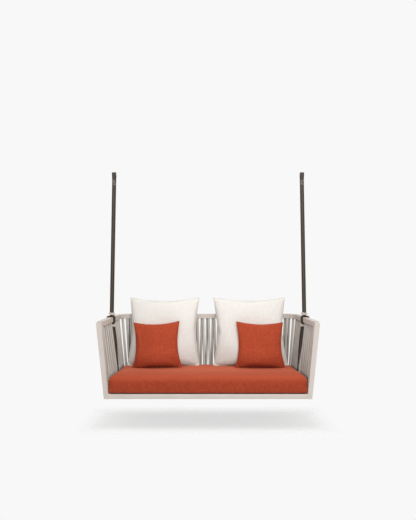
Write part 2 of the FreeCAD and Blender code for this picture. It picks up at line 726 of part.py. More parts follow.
def strap_tail(side, sign):
    """Lower run of a strap: it turns by a quarter on its way down and ends flat in the base rail's slot."""
    base_x = BASE_HALF_WIDTH - S.base_width / 2
    wires = []
    for index in range(TAIL_SECTIONS):
        share = index / (TAIL_SECTIONS - 1)
        centre = Vector(BELT_X + (base_x - BELT_X) * share, 0, BELT_BOTTOM + (BASE_TOP - BELT_BOTTOM) * share)
        ease = (1 - math.cos(math.pi * share)) / 2
        wires.append(square_outline(centre, ease * math.pi / 2, S.belt_width, S.belt_thickness))
    twist = Part.makeLoft(wires, True, True)
    seat = Part.Face(wires[-1]).extrude(-UP * S.rope_seat_depth)
    hole = clamp_bore(S.clamp_bolt_diameter / 2, base_x)
    tail = twist.fuse(seat).cut(hole)
    return feature(f"{side}_strap_tail", mirrored(tail, sign))


def clamp_bore(radius, base_x):
    """Cylinder across the base rail's slot, on the axis of a strap's clamp bolt."""
    slot = S.base_width - 2 * S.base_wall
    start = Vector(base_x - slot / 2, 0, BASE_TOP - S.rope_seat_depth / 2)
    return Part.makeCylinder(radius, slot, start, ALONG_X)


def tail_clamp(side, sign):
    """Two blocks that fill the base rail's slot beside the strap, and the bolt that draws them together."""
    base_x = BASE_HALF_WIDTH - S.base_width / 2
    slot_half = S.base_width / 2 - S.base_wall
    block = slot_half - S.belt_thickness / 2 - S.clamp_head_height
    head = Part.makeCylinder(S.clamp_head_width / 2, S.clamp_head_height,
                             Vector(base_x - slot_half, 0, BASE_TOP - S.rope_seat_depth / 2), ALONG_X)
    nut = head.translated(ALONG_X * (2 * slot_half - S.clamp_head_height))
    bore = clamp_bore(S.clamp_bolt_diameter / 2, base_x)
    blocks = []
    for x in (base_x - S.belt_thickness / 2 - block, base_x + S.belt_thickness / 2):
        corner = Vector(x, -S.belt_width / 2, ROPE_BASE_END)
        blocks.append(Part.makeBox(block, S.belt_width, S.rope_seat_depth, corner).cut(bore))
    bolt = bore.multiFuse([head, nut]).removeSplitter()
    feature(f"{side}_clamp_blocks", mirrored(Part.makeCompound(blocks), sign))
    feature(f"{side}_clamp_bolt", mirrored(bolt, sign))


def belt_point(length):
    """Point and direction on the binding's path, after a length of cord from the start of the back run."""
    slope = BINDING_CLIMB / BINDING_TURN
    rest = length % BINDING_TURN
    half_run = BINDING_RUN / 2
    half_turn = math.pi * BINDING_RADIUS
    first = rest < BINDING_RUN + half_turn
    rest = rest if first else rest - BINDING_RUN - half_turn
    side = 1 if first else -1
    if rest <= BINDING_RUN:
        x, y, direction = -half_run + rest, BINDING_RADIUS, Vector(1, 0, 0)
    else:
        angle = (rest - BINDING_RUN) / BINDING_RADIUS
        x, y = half_run + BINDING_RADIUS * math.sin(angle), BINDING_RADIUS * math.cos(angle)
        direction = Vector(math.cos(angle), -math.sin(angle), 0)
    tangent = Vector(side * direction.x, side * direction.y, slope).normalize()
    return Vector(side * x, side * y, slope * length), tangent


def biarc(start, start_direction, end, end_direction):
    """Two arcs in a row from one point and direction to another."""
    chord = end - start
    both = start_direction + end_direction
    square = 2 * (start_direction.dot(end_direction) - 1)
    linear = -2 * chord.dot(both)
    root = math.sqrt(linear * linear - 4 * square * chord.dot(chord))
    reach = (-linear - root) / (2 * square)
    first = start + start_direction * reach
    second = end - end_direction * reach
    joint = (first + second) * 0.5
    return [arc_between(start, first, joint), arc_between(joint, second, end)]


def binding_path():
    """Cord wound round the belt: straight runs on both faces, quarter turns at its edges."""
    quarter = math.pi * BINDING_RADIUS / 2
    edges = []
    length = 0.0
    for half in range(2 * BINDING_TURNS):
        start, _ = belt_point(length)
        bend, direction = belt_point(length + BINDING_RUN)
        edges.append(Part.LineSegment(start, bend).toShape())
        length += BINDING_RUN
        for turn in range(2):
            following, onward = belt_point(length + quarter * (turn + 1))
            edges += biarc(bend, direction, following, onward)
            bend, direction = following, onward
        length += 2 * quarter
    start, _ = belt_point(length)
    end, _ = belt_point(length + BINDING_RUN - S.cord_clearance)
    edges.append(Part.LineSegment(start, end).toShape())
    return Part.Wire(edges)


def least_gap(path):
    """Least gap of a wound cord to itself, measured on points along its path."""
    points, lengths = [], []
    run = 0.0
    for edge in path.Edges:
        for index in range(GAP_SAMPLES):
            share = index / GAP_SAMPLES
            points.append(edge.valueAt(edge.FirstParameter + (edge.LastParameter - edge.FirstParameter) * share))
            lengths.append(run + edge.Length * share)
        run += edge.Length
    apart = BINDING_TURN / 2
    gaps = [first.distanceToPoint(second) for i, first in enumerate(points)
            for j, second in enumerate(points) if lengths[j] - lengths[i] > apart]
    return min(gaps) - S.cord_diameter


def make_bindings():
    """Light cord wound round each strap above and below the rail."""
    path = binding_path()
    start, direction = belt_point(0.0)
    profile = Part.Wire(Part.Circle(start, direction, S.cord_diameter / 2).toShape())
    shell = Part.BRepOffsetAPI.MakePipeShell(path)
    shell.add(profile)
    shell.build()
    shell.makeSolid()
    winding = shell.shape()
    print(f"binding cord: least gap to itself {least_gap(path):.2f} mm")
    for side, sign in SIDES:
        for label, bottom in (("upper", UPPER_BINDING), ("lower", LOWER_BINDING)):
            cord = winding.translated(Vector(BELT_X, 0, bottom + S.cord_diameter / 2))
            feature(f"{side}_{label}_binding", mirrored(cord, sign))


# Cushions

def seat_section(x, draw_share):
    """Side-view outline of the seat cushion: flat below, crowned above, round in front."""
    inset = S.seat_end_inset * draw_share
    front = SEAT_FRONT + inset / 2
    back = SEAT_BACK - SEAT_BACK_CORNER * draw_share
    bottom = DECK_TOP + S.soft_gap + inset / 4
    front_top = DECK_TOP + S.soft_gap + S.seat_front_height - inset
    back_top = DECK_TOP + S.soft_gap + S.seat_back_height - inset
    low = S.seat_bottom_rounding
    corners = [Vector(x, front, bottom), Vector(x, back, bottom), Vector(x, back, back_top),
               Vector(x, front, front_top)]
    wire = rounded_outline(corners, [low, low, S.seat_back_rounding, S.seat_front_rounding])
    edges = list(wire.OrderedEdges)
    spans = [index for index, edge in enumerate(edges) if edge.Length > (back - front) / 2]
    top = max(spans, key=lambda index: edges[index].CenterOfMass.z)
    start, end = (vertex.Point for vertex in edges[top].Vertexes)
    crown = (start + end) * 0.5 + UP * (S.seat_crown - inset / 4)
    edges[top] = Part.Arc(start, crown, end).toShape()
    return Part.Wire(Part.__sortEdges__(edges))


def seat_cushion():
    """Seat cushion whose ends draw in towards the arms."""
    stations = [(SEAT_HALF_WIDTH - S.seat_end_length * share, 1 - math.sqrt(1 - (1 - share) ** 2))
                for share in SEAT_END_SHARES]
    sections = [seat_section(-x, draw_share) for x, draw_share in stations]
    sections += [seat_section(x, draw_share) for x, draw_share in reversed(stations)]
    return feature("seat_cushion", Part.makeLoft(sections, True, True))


def lens(centre, across, half_length, half_thickness):
    """Outline of two arcs between two points, in the plane across a pillow."""
    start, end = centre - across * half_length, centre + across * half_length
    bulge = ALONG_Y * half_thickness
    front = Part.Arc(start, centre - bulge, end).toShape()
    rear = Part.Arc(end, centre + bulge, start).toShape()
    return Part.Wire([front, rear])


class Pillow:
    """A square pillow that stands on its lower corners and leans back. Its faces are crowned, its sides drawn in."""

    def __init__(self, kind, x, width):
        self.x, self.width = x, width
        self.height, self.thickness, self.draw_in, lean = (
            getattr(S, f"{kind}_pillow_{name}") for name in ("height", "thickness", "draw_in", "lean"))
        self.turn = Rotation(ALONG_X, -lean)
        self.foot = Vector(x, 0, 0)
        rise = self.thickness / 2
        self.radius = ((self.height / 2 - self.draw_in) ** 2 + rise ** 2) / (2 * rise)

    def arc_centre(self, face):
        """Centre of the arc that the front face (-1) or the rear face (1) follows up its middle."""
        upright = Vector(0, face * (self.thickness / 2 - self.radius), self.height / 2)
        return self.foot + self.turn.multVec(upright)

    def stand_on(self, seat):
        """Lift the pillow's foot to where its lower corners meet the seat."""
        corners = (self.x - self.width / 2, self.x + self.width / 2)
        self.foot.z = max(top_of(seat, x, self.foot.y) for x in corners) + S.soft_gap

    def lean_on(self, seat, rest, room):
        """Bring the pillow to rest on the seat and on what is behind it: near by its arc, then by its true form."""
        for _ in range(LEAN_ROUNDS):
            self.stand_on(seat)
            self.foot.y += room(self.arc_centre(1), self.radius + S.soft_gap)
        self.foot.y -= S.settle_margin
        self.stand_on(seat)
        spare = self.solid().distToShape(rest)[0] - S.soft_gap
        self.foot.y += min(spare, S.settle_margin)
        self.stand_on(seat)

    def solid(self):
        """The pillow in its place."""
        upright, level = [], []
        for share in (-1, 0, 1):
            narrow = 0 if share else self.draw_in
            rise = self.thickness / 2
            upright.append(lens(UP * (share * self.height / 2), ALONG_X, self.width / 2 - narrow, rise))
            level.append(lens(ALONG_X * (share * self.width / 2), UP, self.height / 2 - narrow, rise))
        across = Part.makeLoft(level, True, False)
        form = Part.makeLoft(upright, True, False).common([across], S.soft_tolerance).Solids[0]
        form.translate(UP * (self.height / 2))
        form.Placement = Placement(self.foot, self.turn).multiply(form.Placement)
        return form


def top_of(solid, x, y):
    """Height of a solid's upper face over a point in plan."""
    plumb = Part.makeLine(Vector(x, y, BASE_BOTTOM), Vector(x, y, RAIL_TOP))
    return solid.common(plumb).BoundBox.ZMax


def room_before_wall(centre, reach):
    """Way back that an arc has until it meets the top rail or the back ropes."""
    level = min(max(centre.z, RAIL_UNDERSIDE), RAIL_TOP)
    rail_room = BACK - S.rail_width - math.sqrt(reach ** 2 - (level - centre.z) ** 2) - centre.y
    drop = ROPE_TOP_END - ROPE_BASE_END
    top, base = (Vector(*path.point(0.0, ROPE_LAYER_OFFSET), 0) for path in (TOP_PATH, BASE_PATH))
    shift = slope_shift(top, base).y
    slope = (top.y - base.y + 2 * shift) / drop
    ropes = base.y - shift + slope * (centre.z - ROPE_BASE_END) - S.rope_diameter / 2
    rope_room = ropes - reach * math.hypot(1, slope) - centre.y
    return min(rail_room, rope_room)


def make_pillows(seat, rail):
    """Large pillows that lean on the top rail or the back ropes, and small ones that lean on the large ones."""
    large = Pillow("large", LARGE_PILLOW_PLACE, LARGE_PILLOW_WIDTH)
    small = Pillow("small", LARGE_PILLOW_PLACE + S.small_pillow_offset, S.small_pillow_width)
    large.lean_on(seat, rail, room_before_wall)
    face = large.arc_centre(-1)

    def room_before_pillow(centre, reach):
        return face.y - math.sqrt((reach + large.radius) ** 2 - (face.z - centre.z) ** 2) - centre.y

    small.lean_on(seat, large.solid(), room_before_pillow)
    for side, sign in SIDES:
        feature(f"{side}_large_pillow", mirrored(large.solid(), sign))
        feature(f"{side}_small_pillow", mirrored(small.solid(), sign))


def write_parts():
    """Check every object of the document, then write one file for each piece."""
    failed = [item.Name for item in doc.Objects if "Invalid" in item.State or "Error" in item.State]
    failed += [node.Label for node in nodes if node.Shape.isNull() or not node.Shape.isValid()]
    if failed:
        raise RuntimeError(f"objects that failed: {failed}")
    os.makedirs("parts", exist_ok=True)
    for node in nodes:
        node.Shape.exportStep(f"parts/{node.Label}.step")
    print(f"{len(nodes)} pieces written")


make_rails()
for side_name, side_sign in SIDES:
    front_post(side_name, side_sign)
    back_post(side_name, side_sign)
front_rail()
make_ropes()
make_deck()
for side_name, side_sign in SIDES:
    thimble(side_name, side_sign)
    upper_strap(side_name, side_sign)
    strap_sling(side_name, side_sign)
    strap_tail(side_name, side_sign)
    tail_clamp(side_name, side_sign)
make_bindings()
doc.recompute()
make_pillows(seat_cushion().Shape, doc.getObject("top_rail").Shape)
doc.recompute()
write_parts()
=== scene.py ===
"""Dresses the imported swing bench: painted frame, ropes, belts, cord bindings, cushions and a pale stage."""
from __future__ import annotations

import json
import logging
import math
from dataclasses import dataclass, field
from enum import Enum
from typing import Callable, Sequence, Union

import bmesh
import bpy
import numpy as np
from mathutils import Matrix, Vector, noise
from mathutils.bvhtree import BVHTree

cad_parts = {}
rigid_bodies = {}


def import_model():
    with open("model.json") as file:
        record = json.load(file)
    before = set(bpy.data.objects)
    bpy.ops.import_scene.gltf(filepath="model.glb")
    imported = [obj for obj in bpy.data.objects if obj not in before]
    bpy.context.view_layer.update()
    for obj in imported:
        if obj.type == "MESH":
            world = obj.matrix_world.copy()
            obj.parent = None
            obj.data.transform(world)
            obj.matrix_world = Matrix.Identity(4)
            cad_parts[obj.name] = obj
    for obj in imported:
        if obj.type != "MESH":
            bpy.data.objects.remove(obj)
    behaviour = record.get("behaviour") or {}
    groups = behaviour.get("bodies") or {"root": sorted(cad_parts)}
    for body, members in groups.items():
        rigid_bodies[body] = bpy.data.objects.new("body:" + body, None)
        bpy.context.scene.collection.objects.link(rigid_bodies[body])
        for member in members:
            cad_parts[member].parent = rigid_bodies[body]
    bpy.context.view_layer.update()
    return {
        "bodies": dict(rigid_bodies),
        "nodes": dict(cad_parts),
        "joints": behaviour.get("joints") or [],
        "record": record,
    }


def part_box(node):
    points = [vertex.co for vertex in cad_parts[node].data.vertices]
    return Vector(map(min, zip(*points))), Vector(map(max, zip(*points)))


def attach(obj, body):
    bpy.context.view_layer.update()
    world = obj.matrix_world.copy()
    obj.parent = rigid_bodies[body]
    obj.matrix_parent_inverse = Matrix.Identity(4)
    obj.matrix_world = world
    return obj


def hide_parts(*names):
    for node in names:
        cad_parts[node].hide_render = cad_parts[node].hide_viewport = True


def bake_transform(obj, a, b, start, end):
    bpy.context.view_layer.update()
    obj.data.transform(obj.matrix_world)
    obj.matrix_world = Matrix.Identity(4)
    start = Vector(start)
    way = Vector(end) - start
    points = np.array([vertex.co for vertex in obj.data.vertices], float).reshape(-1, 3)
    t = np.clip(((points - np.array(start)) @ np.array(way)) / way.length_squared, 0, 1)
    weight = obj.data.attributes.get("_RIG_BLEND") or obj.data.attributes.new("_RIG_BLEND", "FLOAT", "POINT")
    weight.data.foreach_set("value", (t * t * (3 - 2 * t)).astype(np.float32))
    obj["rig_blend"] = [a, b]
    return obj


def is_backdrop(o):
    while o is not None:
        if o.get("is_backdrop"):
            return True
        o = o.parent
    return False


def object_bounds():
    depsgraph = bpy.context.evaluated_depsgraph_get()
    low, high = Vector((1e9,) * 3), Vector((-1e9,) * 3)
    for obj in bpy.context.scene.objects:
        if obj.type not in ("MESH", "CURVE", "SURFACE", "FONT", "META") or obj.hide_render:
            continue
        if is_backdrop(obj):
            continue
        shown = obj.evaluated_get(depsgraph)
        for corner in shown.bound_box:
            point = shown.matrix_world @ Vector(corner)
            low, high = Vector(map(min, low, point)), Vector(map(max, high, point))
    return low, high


LOG = logging.getLogger("swing_bench")

Material = bpy.types.Material
Piece = bpy.types.Object
Socket = bpy.types.NodeSocket
Shape = bmesh.types.BMesh
Edge = bmesh.types.BMEdge
Layer = bmesh.types.BMLayerItem
Colour = tuple[float, float, float, float]
Span = tuple[float, float]
Triple = tuple[float, float, float]
Edges = list[Edge]
Nodes = dict[str, Piece]
Palette = dict[str, Material]
Input = Union["Number", Socket, float, Colour, Vector]

MERGE_DISTANCE = 1e-5
RIM_DISTANCE = 1e-4
FLAT_ANGLE = math.radians(0.5)
SHARP_ANGLE = math.radians(30)
BELT_CREASE = math.radians(60)
SLING_CREASE = math.radians(50)
FULL_TURN = 2 * math.pi
RELAX_FACTOR = 0.5
PRESS_START = 3.0
PRESS_DEPTH = 0.12
BELLY_PEAK = 27 / 4
WHITE = (1.0, 1.0, 1.0, 1.0)
ALONG_X, ALONG_Y, ALONG_Z = Vector((1, 0, 0)), Vector((0, 1, 0)), Vector((0, 0, 1))


class Body(Enum):
    """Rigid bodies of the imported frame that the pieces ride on."""

    STRAPS = "straps"
    BENCH = "bench"


class Side(Enum):
    """The two sides of the bench, as seen from the front."""

    LEFT = -1
    RIGHT = 1

    @property
    def word(self) -> str:
        """The side's name, as the frame's nodes spell it."""
        return self.name.lower()


def shade(red: int, green: int, blue: int) -> Colour:
    """Turn an sRGB colour into the linear colour that a shader takes.

    Args:
        red: Red, from 0 to 255.
        green: Green, from 0 to 255.
        blue: Blue, from 0 to 255.

    Returns:
        The linear colour, with full opacity.
    """
    def channel(level: int) -> float:
        """Linear value of one channel."""
        part = level / 255
        return part / 12.92 if part <= 0.04045 else ((part + 0.055) / 1.055) ** 2.4

    return channel(red), channel(green), channel(blue), 1.0


# Shader maths


class Number:
    """A socket that carries one value, with the operators of shader maths."""

    def __init__(self, shader: Shader, socket: Socket) -> None:
        """Wrap a socket of a shader's node tree."""
        self.shader = shader
        self.socket = socket

    def __add__(self, other: Input) -> Number:
        """Sum of two values."""
        return self.shader.maths("ADD", self, other)

    def __sub__(self, other: Input) -> Number:
        """Difference of two values."""
        return self.shader.maths("SUBTRACT", self, other)

    def __rsub__(self, other: Input) -> Number:
        """Difference of two values, the other one first."""
        return self.shader.maths("SUBTRACT", other, self)

    def __mul__(self, other: Input) -> Number:
        """Product of two values."""
        return self.shader.maths("MULTIPLY", self, other)

    def __truediv__(self, other: Input) -> Number:
        """Quotient of two values."""
        return self.shader.maths("DIVIDE", self, other)

    def __abs__(self) -> Number:
        """Size of a value without its sign."""
        return self.shader.maths("ABSOLUTE", self)

    __radd__ = __add__
    __rmul__ = __mul__

    def sine(self) -> Number:
        """Sine of a value in radians."""
        return self.shader.maths("SINE", self)

    def unit(self) -> Number:
        """A value between -1 and 1, brought between 0 and 1."""
        return self * 0.5 + 0.5

    def above(self, other: Input) -> Number:
        """The larger of two values."""
        return self.shader.maths("MAXIMUM", self, other)

    def smooth(self, low: float, high: float, start: float = 0.0, end: float = 1.0) -> Number:
        """Smooth step between two values.

        Args:
            low: Value where the step starts.
            high: Value where the step ends.
            start: Result up to the low value.
            end: Result from the high value on.

        Returns:
            The step.
        """
        made = self.shader.node("ShaderNodeMapRange", {"interpolation_type": "SMOOTHSTEP"}, {
            "Value": self, "From Min": low, "From Max": high, "To Min": start, "To Max": end})
        return Number(self.shader, made.outputs[0])


class Shader:
    """A node tree under construction, of a material or of the world."""

    def __init__(self, owner: Union[Material, bpy.types.World]) -> None:
        """Start with the owner's tree, emptied."""
        owner.use_nodes = True
        self.owner = owner
        self.tree = owner.node_tree
        self.tree.nodes.clear()

    def node(self, kind: str, settings: dict[str, object] | None = None,
             inputs: dict[Union[str, int], Input] | None = None) -> bpy.types.Node:
        """Add a node.

        Args:
            kind: The node's type.
            settings: Properties of the node, which are set first.
            inputs: Values or links of its sockets, by name or by place.

        Returns:
            The new node.
        """
        made = self.tree.nodes.new(kind)
        for name, value in (settings or {}).items():
            setattr(made, name, value)
        for key, value in (inputs or {}).items():
            socket = made.inputs[key]
            source = value.socket if isinstance(value, Number) else value
            if isinstance(source, Socket):
                self.tree.links.new(source, socket)
            else:
                socket.default_value = source
        return made

    def maths(self, operation: str, *values: Input) -> Number:
        """Result of a Math node.

        Args:
            operation: The node's operation.
            values: Its one or two values.

        Returns:
            The result.
        """
        made = self.node("ShaderNodeMath", {"operation": operation}, dict(enumerate(values)))
        return Number(self, made.outputs[0])

    def mix(self, factor: Input, first: Input, second: Input) -> Socket:
        """Blend two colours.

        Args:
            factor: Share of the second colour.
            first: Colour at 0.
            second: Colour at 1.

        Returns:
            The blended colour.
        """
        made = self.node("ShaderNodeMix", {"data_type": "RGBA"}, {0: factor, 6: first, 7: second})
        return made.outputs[2]

    def coordinates(self, kind: str = "Object") -> Socket:
        """Coordinates: metres of the frame, or by the name UV metres of the piece's own cloth or cord."""
        return self.node("ShaderNodeTexCoord").outputs[kind]

    def ray(self, kind: str) -> Number:
        """Whether the ray that looks is of a kind."""
        return Number(self, self.node("ShaderNodeLightPath").outputs[f"Is {kind} Ray"])

    def split(self, vector: Socket) -> tuple[Number, Number, Number]:
        """The three parts of a vector."""
        made = self.node("ShaderNodeSeparateXYZ", inputs={0: vector})
        return tuple(Number(self, socket) for socket in made.outputs)

    def cloud(self, cells: float, detail: float = 2.0) -> Number:
        """Noise around 0.5 that follows the frame's metres.

        Args:
            cells: Cells to a metre.
            detail: Octaves.

        Returns:
            The noise.
        """
        made = self.node("ShaderNodeTexNoise", {"noise_dimensions": "3D"},
                         {"Vector": self.coordinates(), "Scale": cells, "Detail": detail})
        return Number(self, made.outputs[0])

    def bump(self, height: Input, distance: float, strength: float,
             under: Socket | None = None) -> Socket:
        """Relief from a height.

        Args:
            height: The height, from 0 to 1.
            distance: What a height of 1 stands for, in metres.
            strength: Share of the relief that shows.
            under: A coarser relief to add to.

        Returns:
            The normal.
        """
        inputs = {"Height": height, "Distance": distance, "Strength": strength}
        if under is not None:
            inputs["Normal"] = under
        return self.node("ShaderNodeBump", inputs=inputs).outputs[0]

    def fade(self, factor: Input, first: bpy.types.Node, second: bpy.types.Node) -> bpy.types.Node:
        """Blend two shaders.

        Args:
            factor: Share of the second shader.
            first: Shader at 0.
            second: Shader at 1.

        Returns:
            The node that blends them.
        """
        shaders = {1: first.outputs[0], 2: second.outputs[0]}
        return self.node("ShaderNodeMixShader", inputs={0: factor, **shaders})

    def close(self, **inputs: Input) -> Material:
        """End a material with a Principled shader.

        Args:
            inputs: Its sockets, with underscores for spaces.

        Returns:
            The finished material.
        """
        named = {name.replace("_", " "): value for name, value in inputs.items()}
        surface = self.node("ShaderNodeBsdfPrincipled", inputs=named)
        self.node("ShaderNodeOutputMaterial", inputs={0: surface.outputs[0]})
        return self.owner


# Finishes


@dataclass(frozen=True)
class Finish:
    """What a piece is coated or covered with."""

    name: str
    colour: Colour

    def material(self) -> Material:
        """Build the finish as a material of its name."""
        return self.paint(Shader(bpy.data.materials.new(self.name)))

    def paint(self, shader: Shader) -> Material:
        """Fill the material's node tree, which each finish does in its own way.

        Args:
            shader: The empty tree.

        Returns:
            The finished material.
        """
        raise NotImplementedError


@dataclass(frozen=True)
class PowderCoat(Finish):
    """Matt powder coating: a fine even grain with a little drift in tone."""

    worn: Colour
    drift_share: float = 0.6
    grain_share: float = 0.2
    dullness: Span = (0.42, 0.16)
    relief: float = 0.00012

    def paint(self, shader: Shader) -> Material:
        """Build the coating."""
        drift = shader.cloud(cells=9.0, detail=3.0)
        grain = shader.cloud(cells=900.0, detail=1.0)
        wear = drift.smooth(low=0.35, high=0.75) * self.drift_share + grain * self.grain_share
        tone = shader.mix(wear, self.colour, self.worn)
        least, gain = self.dullness
        return shader.close(Base_Color=tone, Roughness=least + drift * gain, Specular_IOR_Level=0.4,
                            Normal=shader.bump(grain, self.relief, strength=0.5))


@dataclass(frozen=True)
class Braid(Finish):
    """Round braided rope or cord: two families of strands cross on its surface, with painted shade in their
    grooves.
    """

    # Painted shade in the grooves between strands.
    groove_shade: Colour
    strands: int = 8
    pitch: float = 0.014
    relief: float = 0.0011
    strand_share: float = 0.75
    fuzz_share: float = 0.25
    drift_share: float = 0.2
    drift_middle: float = 0.1
    fuzz_height: float = 0.3
    # Painted shade where ropes and rails crowd a rope, and how far the occlusion reaches.
    nook_shade: Colour | None = None
    nook_shade_reach: float = 0.03

    def paint(self, shader: Shader) -> Material:
        """Build the braid on the UV map: U is once around, V is metres along."""
        around, along, _ = shader.split(shader.coordinates("UV"))
        climb = along * (FULL_TURN / self.pitch)
        turn = around * (FULL_TURN * self.strands / 2)
        height = (turn + climb).sine().above((turn - climb).sine()).unit()
        fuzz = shader.cloud(cells=420.0)
        drift = shader.cloud(cells=14.0).smooth(low=0.3, high=0.7)
        # Painted shade: the grooves between strands take the darker groove colour, mixed with random fuzz and
        # drift of tone.
        strand_light_and_tone = (height.smooth(low=0.1, high=0.75) * self.strand_share + fuzz * self.fuzz_share
               + drift * self.drift_share - self.drift_middle)
        tone = shader.mix(strand_light_and_tone, self.groove_shade, self.colour)
        # Painted shade: an ambient occlusion node darkens the rope where other ropes and rails are near.
        if self.nook_shade is not None:
            nearby = shader.node("ShaderNodeAmbientOcclusion", inputs={"Distance": self.nook_shade_reach})
            unshaded_share = Number(shader, nearby.outputs["AO"]).smooth(low=0.3, high=0.9)
            tone = shader.mix(unshaded_share, self.nook_shade, tone)
        normal = shader.bump(height + fuzz * self.fuzz_height, self.relief, strength=0.55)
        return shader.close(Base_Color=tone, Roughness=0.78, Normal=normal, Specular_IOR_Level=0.25,
                            Sheen_Weight=0.12, Sheen_Roughness=0.5)


@dataclass(frozen=True)
class Upholstery(Finish):
    """Woven cover with flecked yarn; painted light may pale it towards the top and the back, and it may show
    bounced light a calmer colour.
    """

    deep: Colour
    fleck: Colour
    yarn: float = 0.0016
    relief: float = 0.0006
    mottle_relief: float = 0.0015
    fleck_share: float = 0.55
    weave_height: float = 0.7
    fleck_height: float = 0.5
    sheen: float = 0.06
    sheen_tint: Colour = WHITE
    # Painted light: the colour that the cover takes towards the top, and the heights where it pales.
    pale: Colour | None = None
    pale_from: Span = (-1.595, -1.540)
    # Painted light: the colour that the cover takes towards the back, and the depths where it pales.
    painted_back_light: Colour | None = None
    back_light_from: Span = (-0.30, -0.08)
    bounce: Colour | None = None
    on_cut: bool = True

    def paint(self, shader: Shader) -> Material:
        """Build the weave, on the cut of the cloth or on the frame's own metres."""
        sideways, depth, height = shader.split(shader.coordinates())
        warp, weft = sideways, depth - height
        if self.on_cut:
            warp, weft, _ = shader.split(shader.coordinates("UV"))
        pace = math.pi / self.yarn
        weave = ((warp * pace).sine() * (weft * pace).sine()).unit()
        mottle = shader.cloud(cells=46.0, detail=3.0)
        fleck = shader.cloud(cells=330.0)
        tone = shader.mix(mottle.smooth(low=0.28, high=0.72), self.deep, self.colour)
        # Painted light: the cover pales towards the top.
        if self.pale is not None:
            tone = shader.mix(height.smooth(*self.pale_from), tone, self.pale)
        # Painted light: the cover pales towards the back.
        if self.painted_back_light is not None:
            tone = shader.mix(depth.smooth(*self.back_light_from), tone, self.painted_back_light)
        tone = shader.mix(fleck.smooth(low=0.5, high=0.78) * self.fleck_share, tone, self.fleck)
        # Light that bounces off the cover takes the calmer bounce colour.
        if self.bounce is not None:
            tone = shader.mix(shader.ray("Diffuse"), tone, self.bounce)
        soft = shader.bump(mottle, self.mottle_relief, strength=0.35)
        threads = weave * self.weave_height + fleck * self.fleck_height
        normal = shader.bump(threads, self.relief, strength=0.5, under=soft)
        return shader.close(Base_Color=tone, Roughness=0.86, Specular_IOR_Level=0.12, Normal=normal,
                            Sheen_Weight=self.sheen, Sheen_Roughness=0.4, Sheen_Tint=self.sheen_tint)


@dataclass(frozen=True)
class BeltWeave(Finish):
    """Dark woven belt with a lighter stripe up its middle and a channel on both sides of it."""

    middle: Colour
    half_width: float = 0.016
    rib: float = 0.0022
    relief: float = 0.0007
    stripe_share: float = 0.85
    fuzz_share: float = 0.12
    heights: Triple = (0.4, 0.2, 0.5)

    def paint(self, shader: Shader) -> Material:
        """Build the weave on the UV map: U is metres across, V is metres along."""
        across, along, _ = shader.split(shader.coordinates("UV"))
        reach = abs(across) / self.half_width
        stripe = 1 - reach.smooth(low=0.12, high=0.42)
        rib = ((along + abs(across)) * (FULL_TURN / self.rib)).sine().unit()
        channel = reach.smooth(low=0.30, high=0.40) - reach.smooth(low=0.40, high=0.50)
        fuzz = shader.cloud(cells=500.0)
        tone = shader.mix(stripe * self.stripe_share + fuzz * self.fuzz_share, self.colour, self.middle)
        ribs, threads, sunk = self.heights
        height = rib * ribs + fuzz * threads - channel * sunk
        return shader.close(Base_Color=tone, Roughness=0.66, Specular_IOR_Level=0.3,
                            Normal=shader.bump(height, self.relief, strength=0.6))


@dataclass(frozen=True)
class FineGrain(Finish):
    """Plain metal or moulded plastic of the hidden fittings, with fine scratches or grain."""

    fleck: Colour
    cells: float
    detail: float
    share: float
    roughness: float
    relief: float
    strength: float
    metallic: float = 0.0
    roughness_gain: float = 0.15

    def paint(self, shader: Shader) -> Material:
        """Build the grain."""
        grain = shader.cloud(self.cells, self.detail)
        return shader.close(Base_Color=shader.mix(grain * self.share, self.colour, self.fleck),
                            Metallic=self.metallic, Roughness=self.roughness + grain * self.roughness_gain,
                            Normal=shader.bump(grain, self.relief, self.strength))


WARM_SHEEN = (1.0, 0.5, 0.35, 1.0)
FINISHES: dict[str, Finish] = {
    "frame": PowderCoat("frame_powder_coat", shade(216, 206, 198), shade(208, 198, 189)),
    # Rope and cord: the second colour is painted shade in the braid's grooves; the rope's nook colour is
    # painted shade where ropes crowd.
    "rope": Braid("wall_rope_braid", shade(216, 210, 202), shade(170, 164, 155), nook_shade=shade(96, 88, 79)),
    "belt": BeltWeave("strap_belt_weave", shade(52, 44, 38), shade(80, 70, 61)),
    "cord": Braid("binding_cord_braid", shade(224, 214, 204), shade(178, 164, 150), strands=6, pitch=0.008,
                  relief=0.0006),
    "webbing": Upholstery("deck_webbing_weave", shade(58, 52, 48), shade(48, 43, 39), shade(80, 72, 66),
                          yarn=0.0025, on_cut=False),
    "steel": FineGrain("fastener_steel", shade(196, 196, 198), shade(150, 150, 152), cells=700.0,
                       detail=3.0, share=0.3, roughness=0.32, relief=0.00005, strength=0.4, metallic=1.0),
    # Ledges and clamp blocks: dark grey, partly their own colour and partly painted shade that darkens the gap
    # under the seat.
    "fitting": PowderCoat("ledge_shade_powder_coat", shade(84, 78, 74), shade(76, 70, 66)),
    "keeper": FineGrain("rope_keeper_plastic", shade(72, 68, 64), shade(96, 92, 88), cells=1100.0,
                        detail=1.0, share=0.25, roughness=0.5, relief=0.0001, strength=0.5),
    # Seat: the pale colour and the back light are painted light, lighter towards the seat's top and back.
    "seat": Upholstery("seat_cover_weave", shade(168, 69, 43), shade(158, 61, 37), shade(184, 89, 62),
                       sheen=0.2, sheen_tint=WARM_SHEEN, pale=shade(190, 86, 58), painted_back_light=shade(205, 100, 70),
                       bounce=shade(152, 100, 86), on_cut=False),
    "cream": Upholstery("cream_cover_weave", shade(241, 237, 231), shade(236, 231, 224),
                        shade(227, 220, 211)),
    "rust": Upholstery("rust_cover_weave", shade(185, 78, 50), shade(173, 69, 43), shade(194, 96, 68),
                       sheen=0.12, sheen_tint=WARM_SHEEN),
}


# Mesh helpers


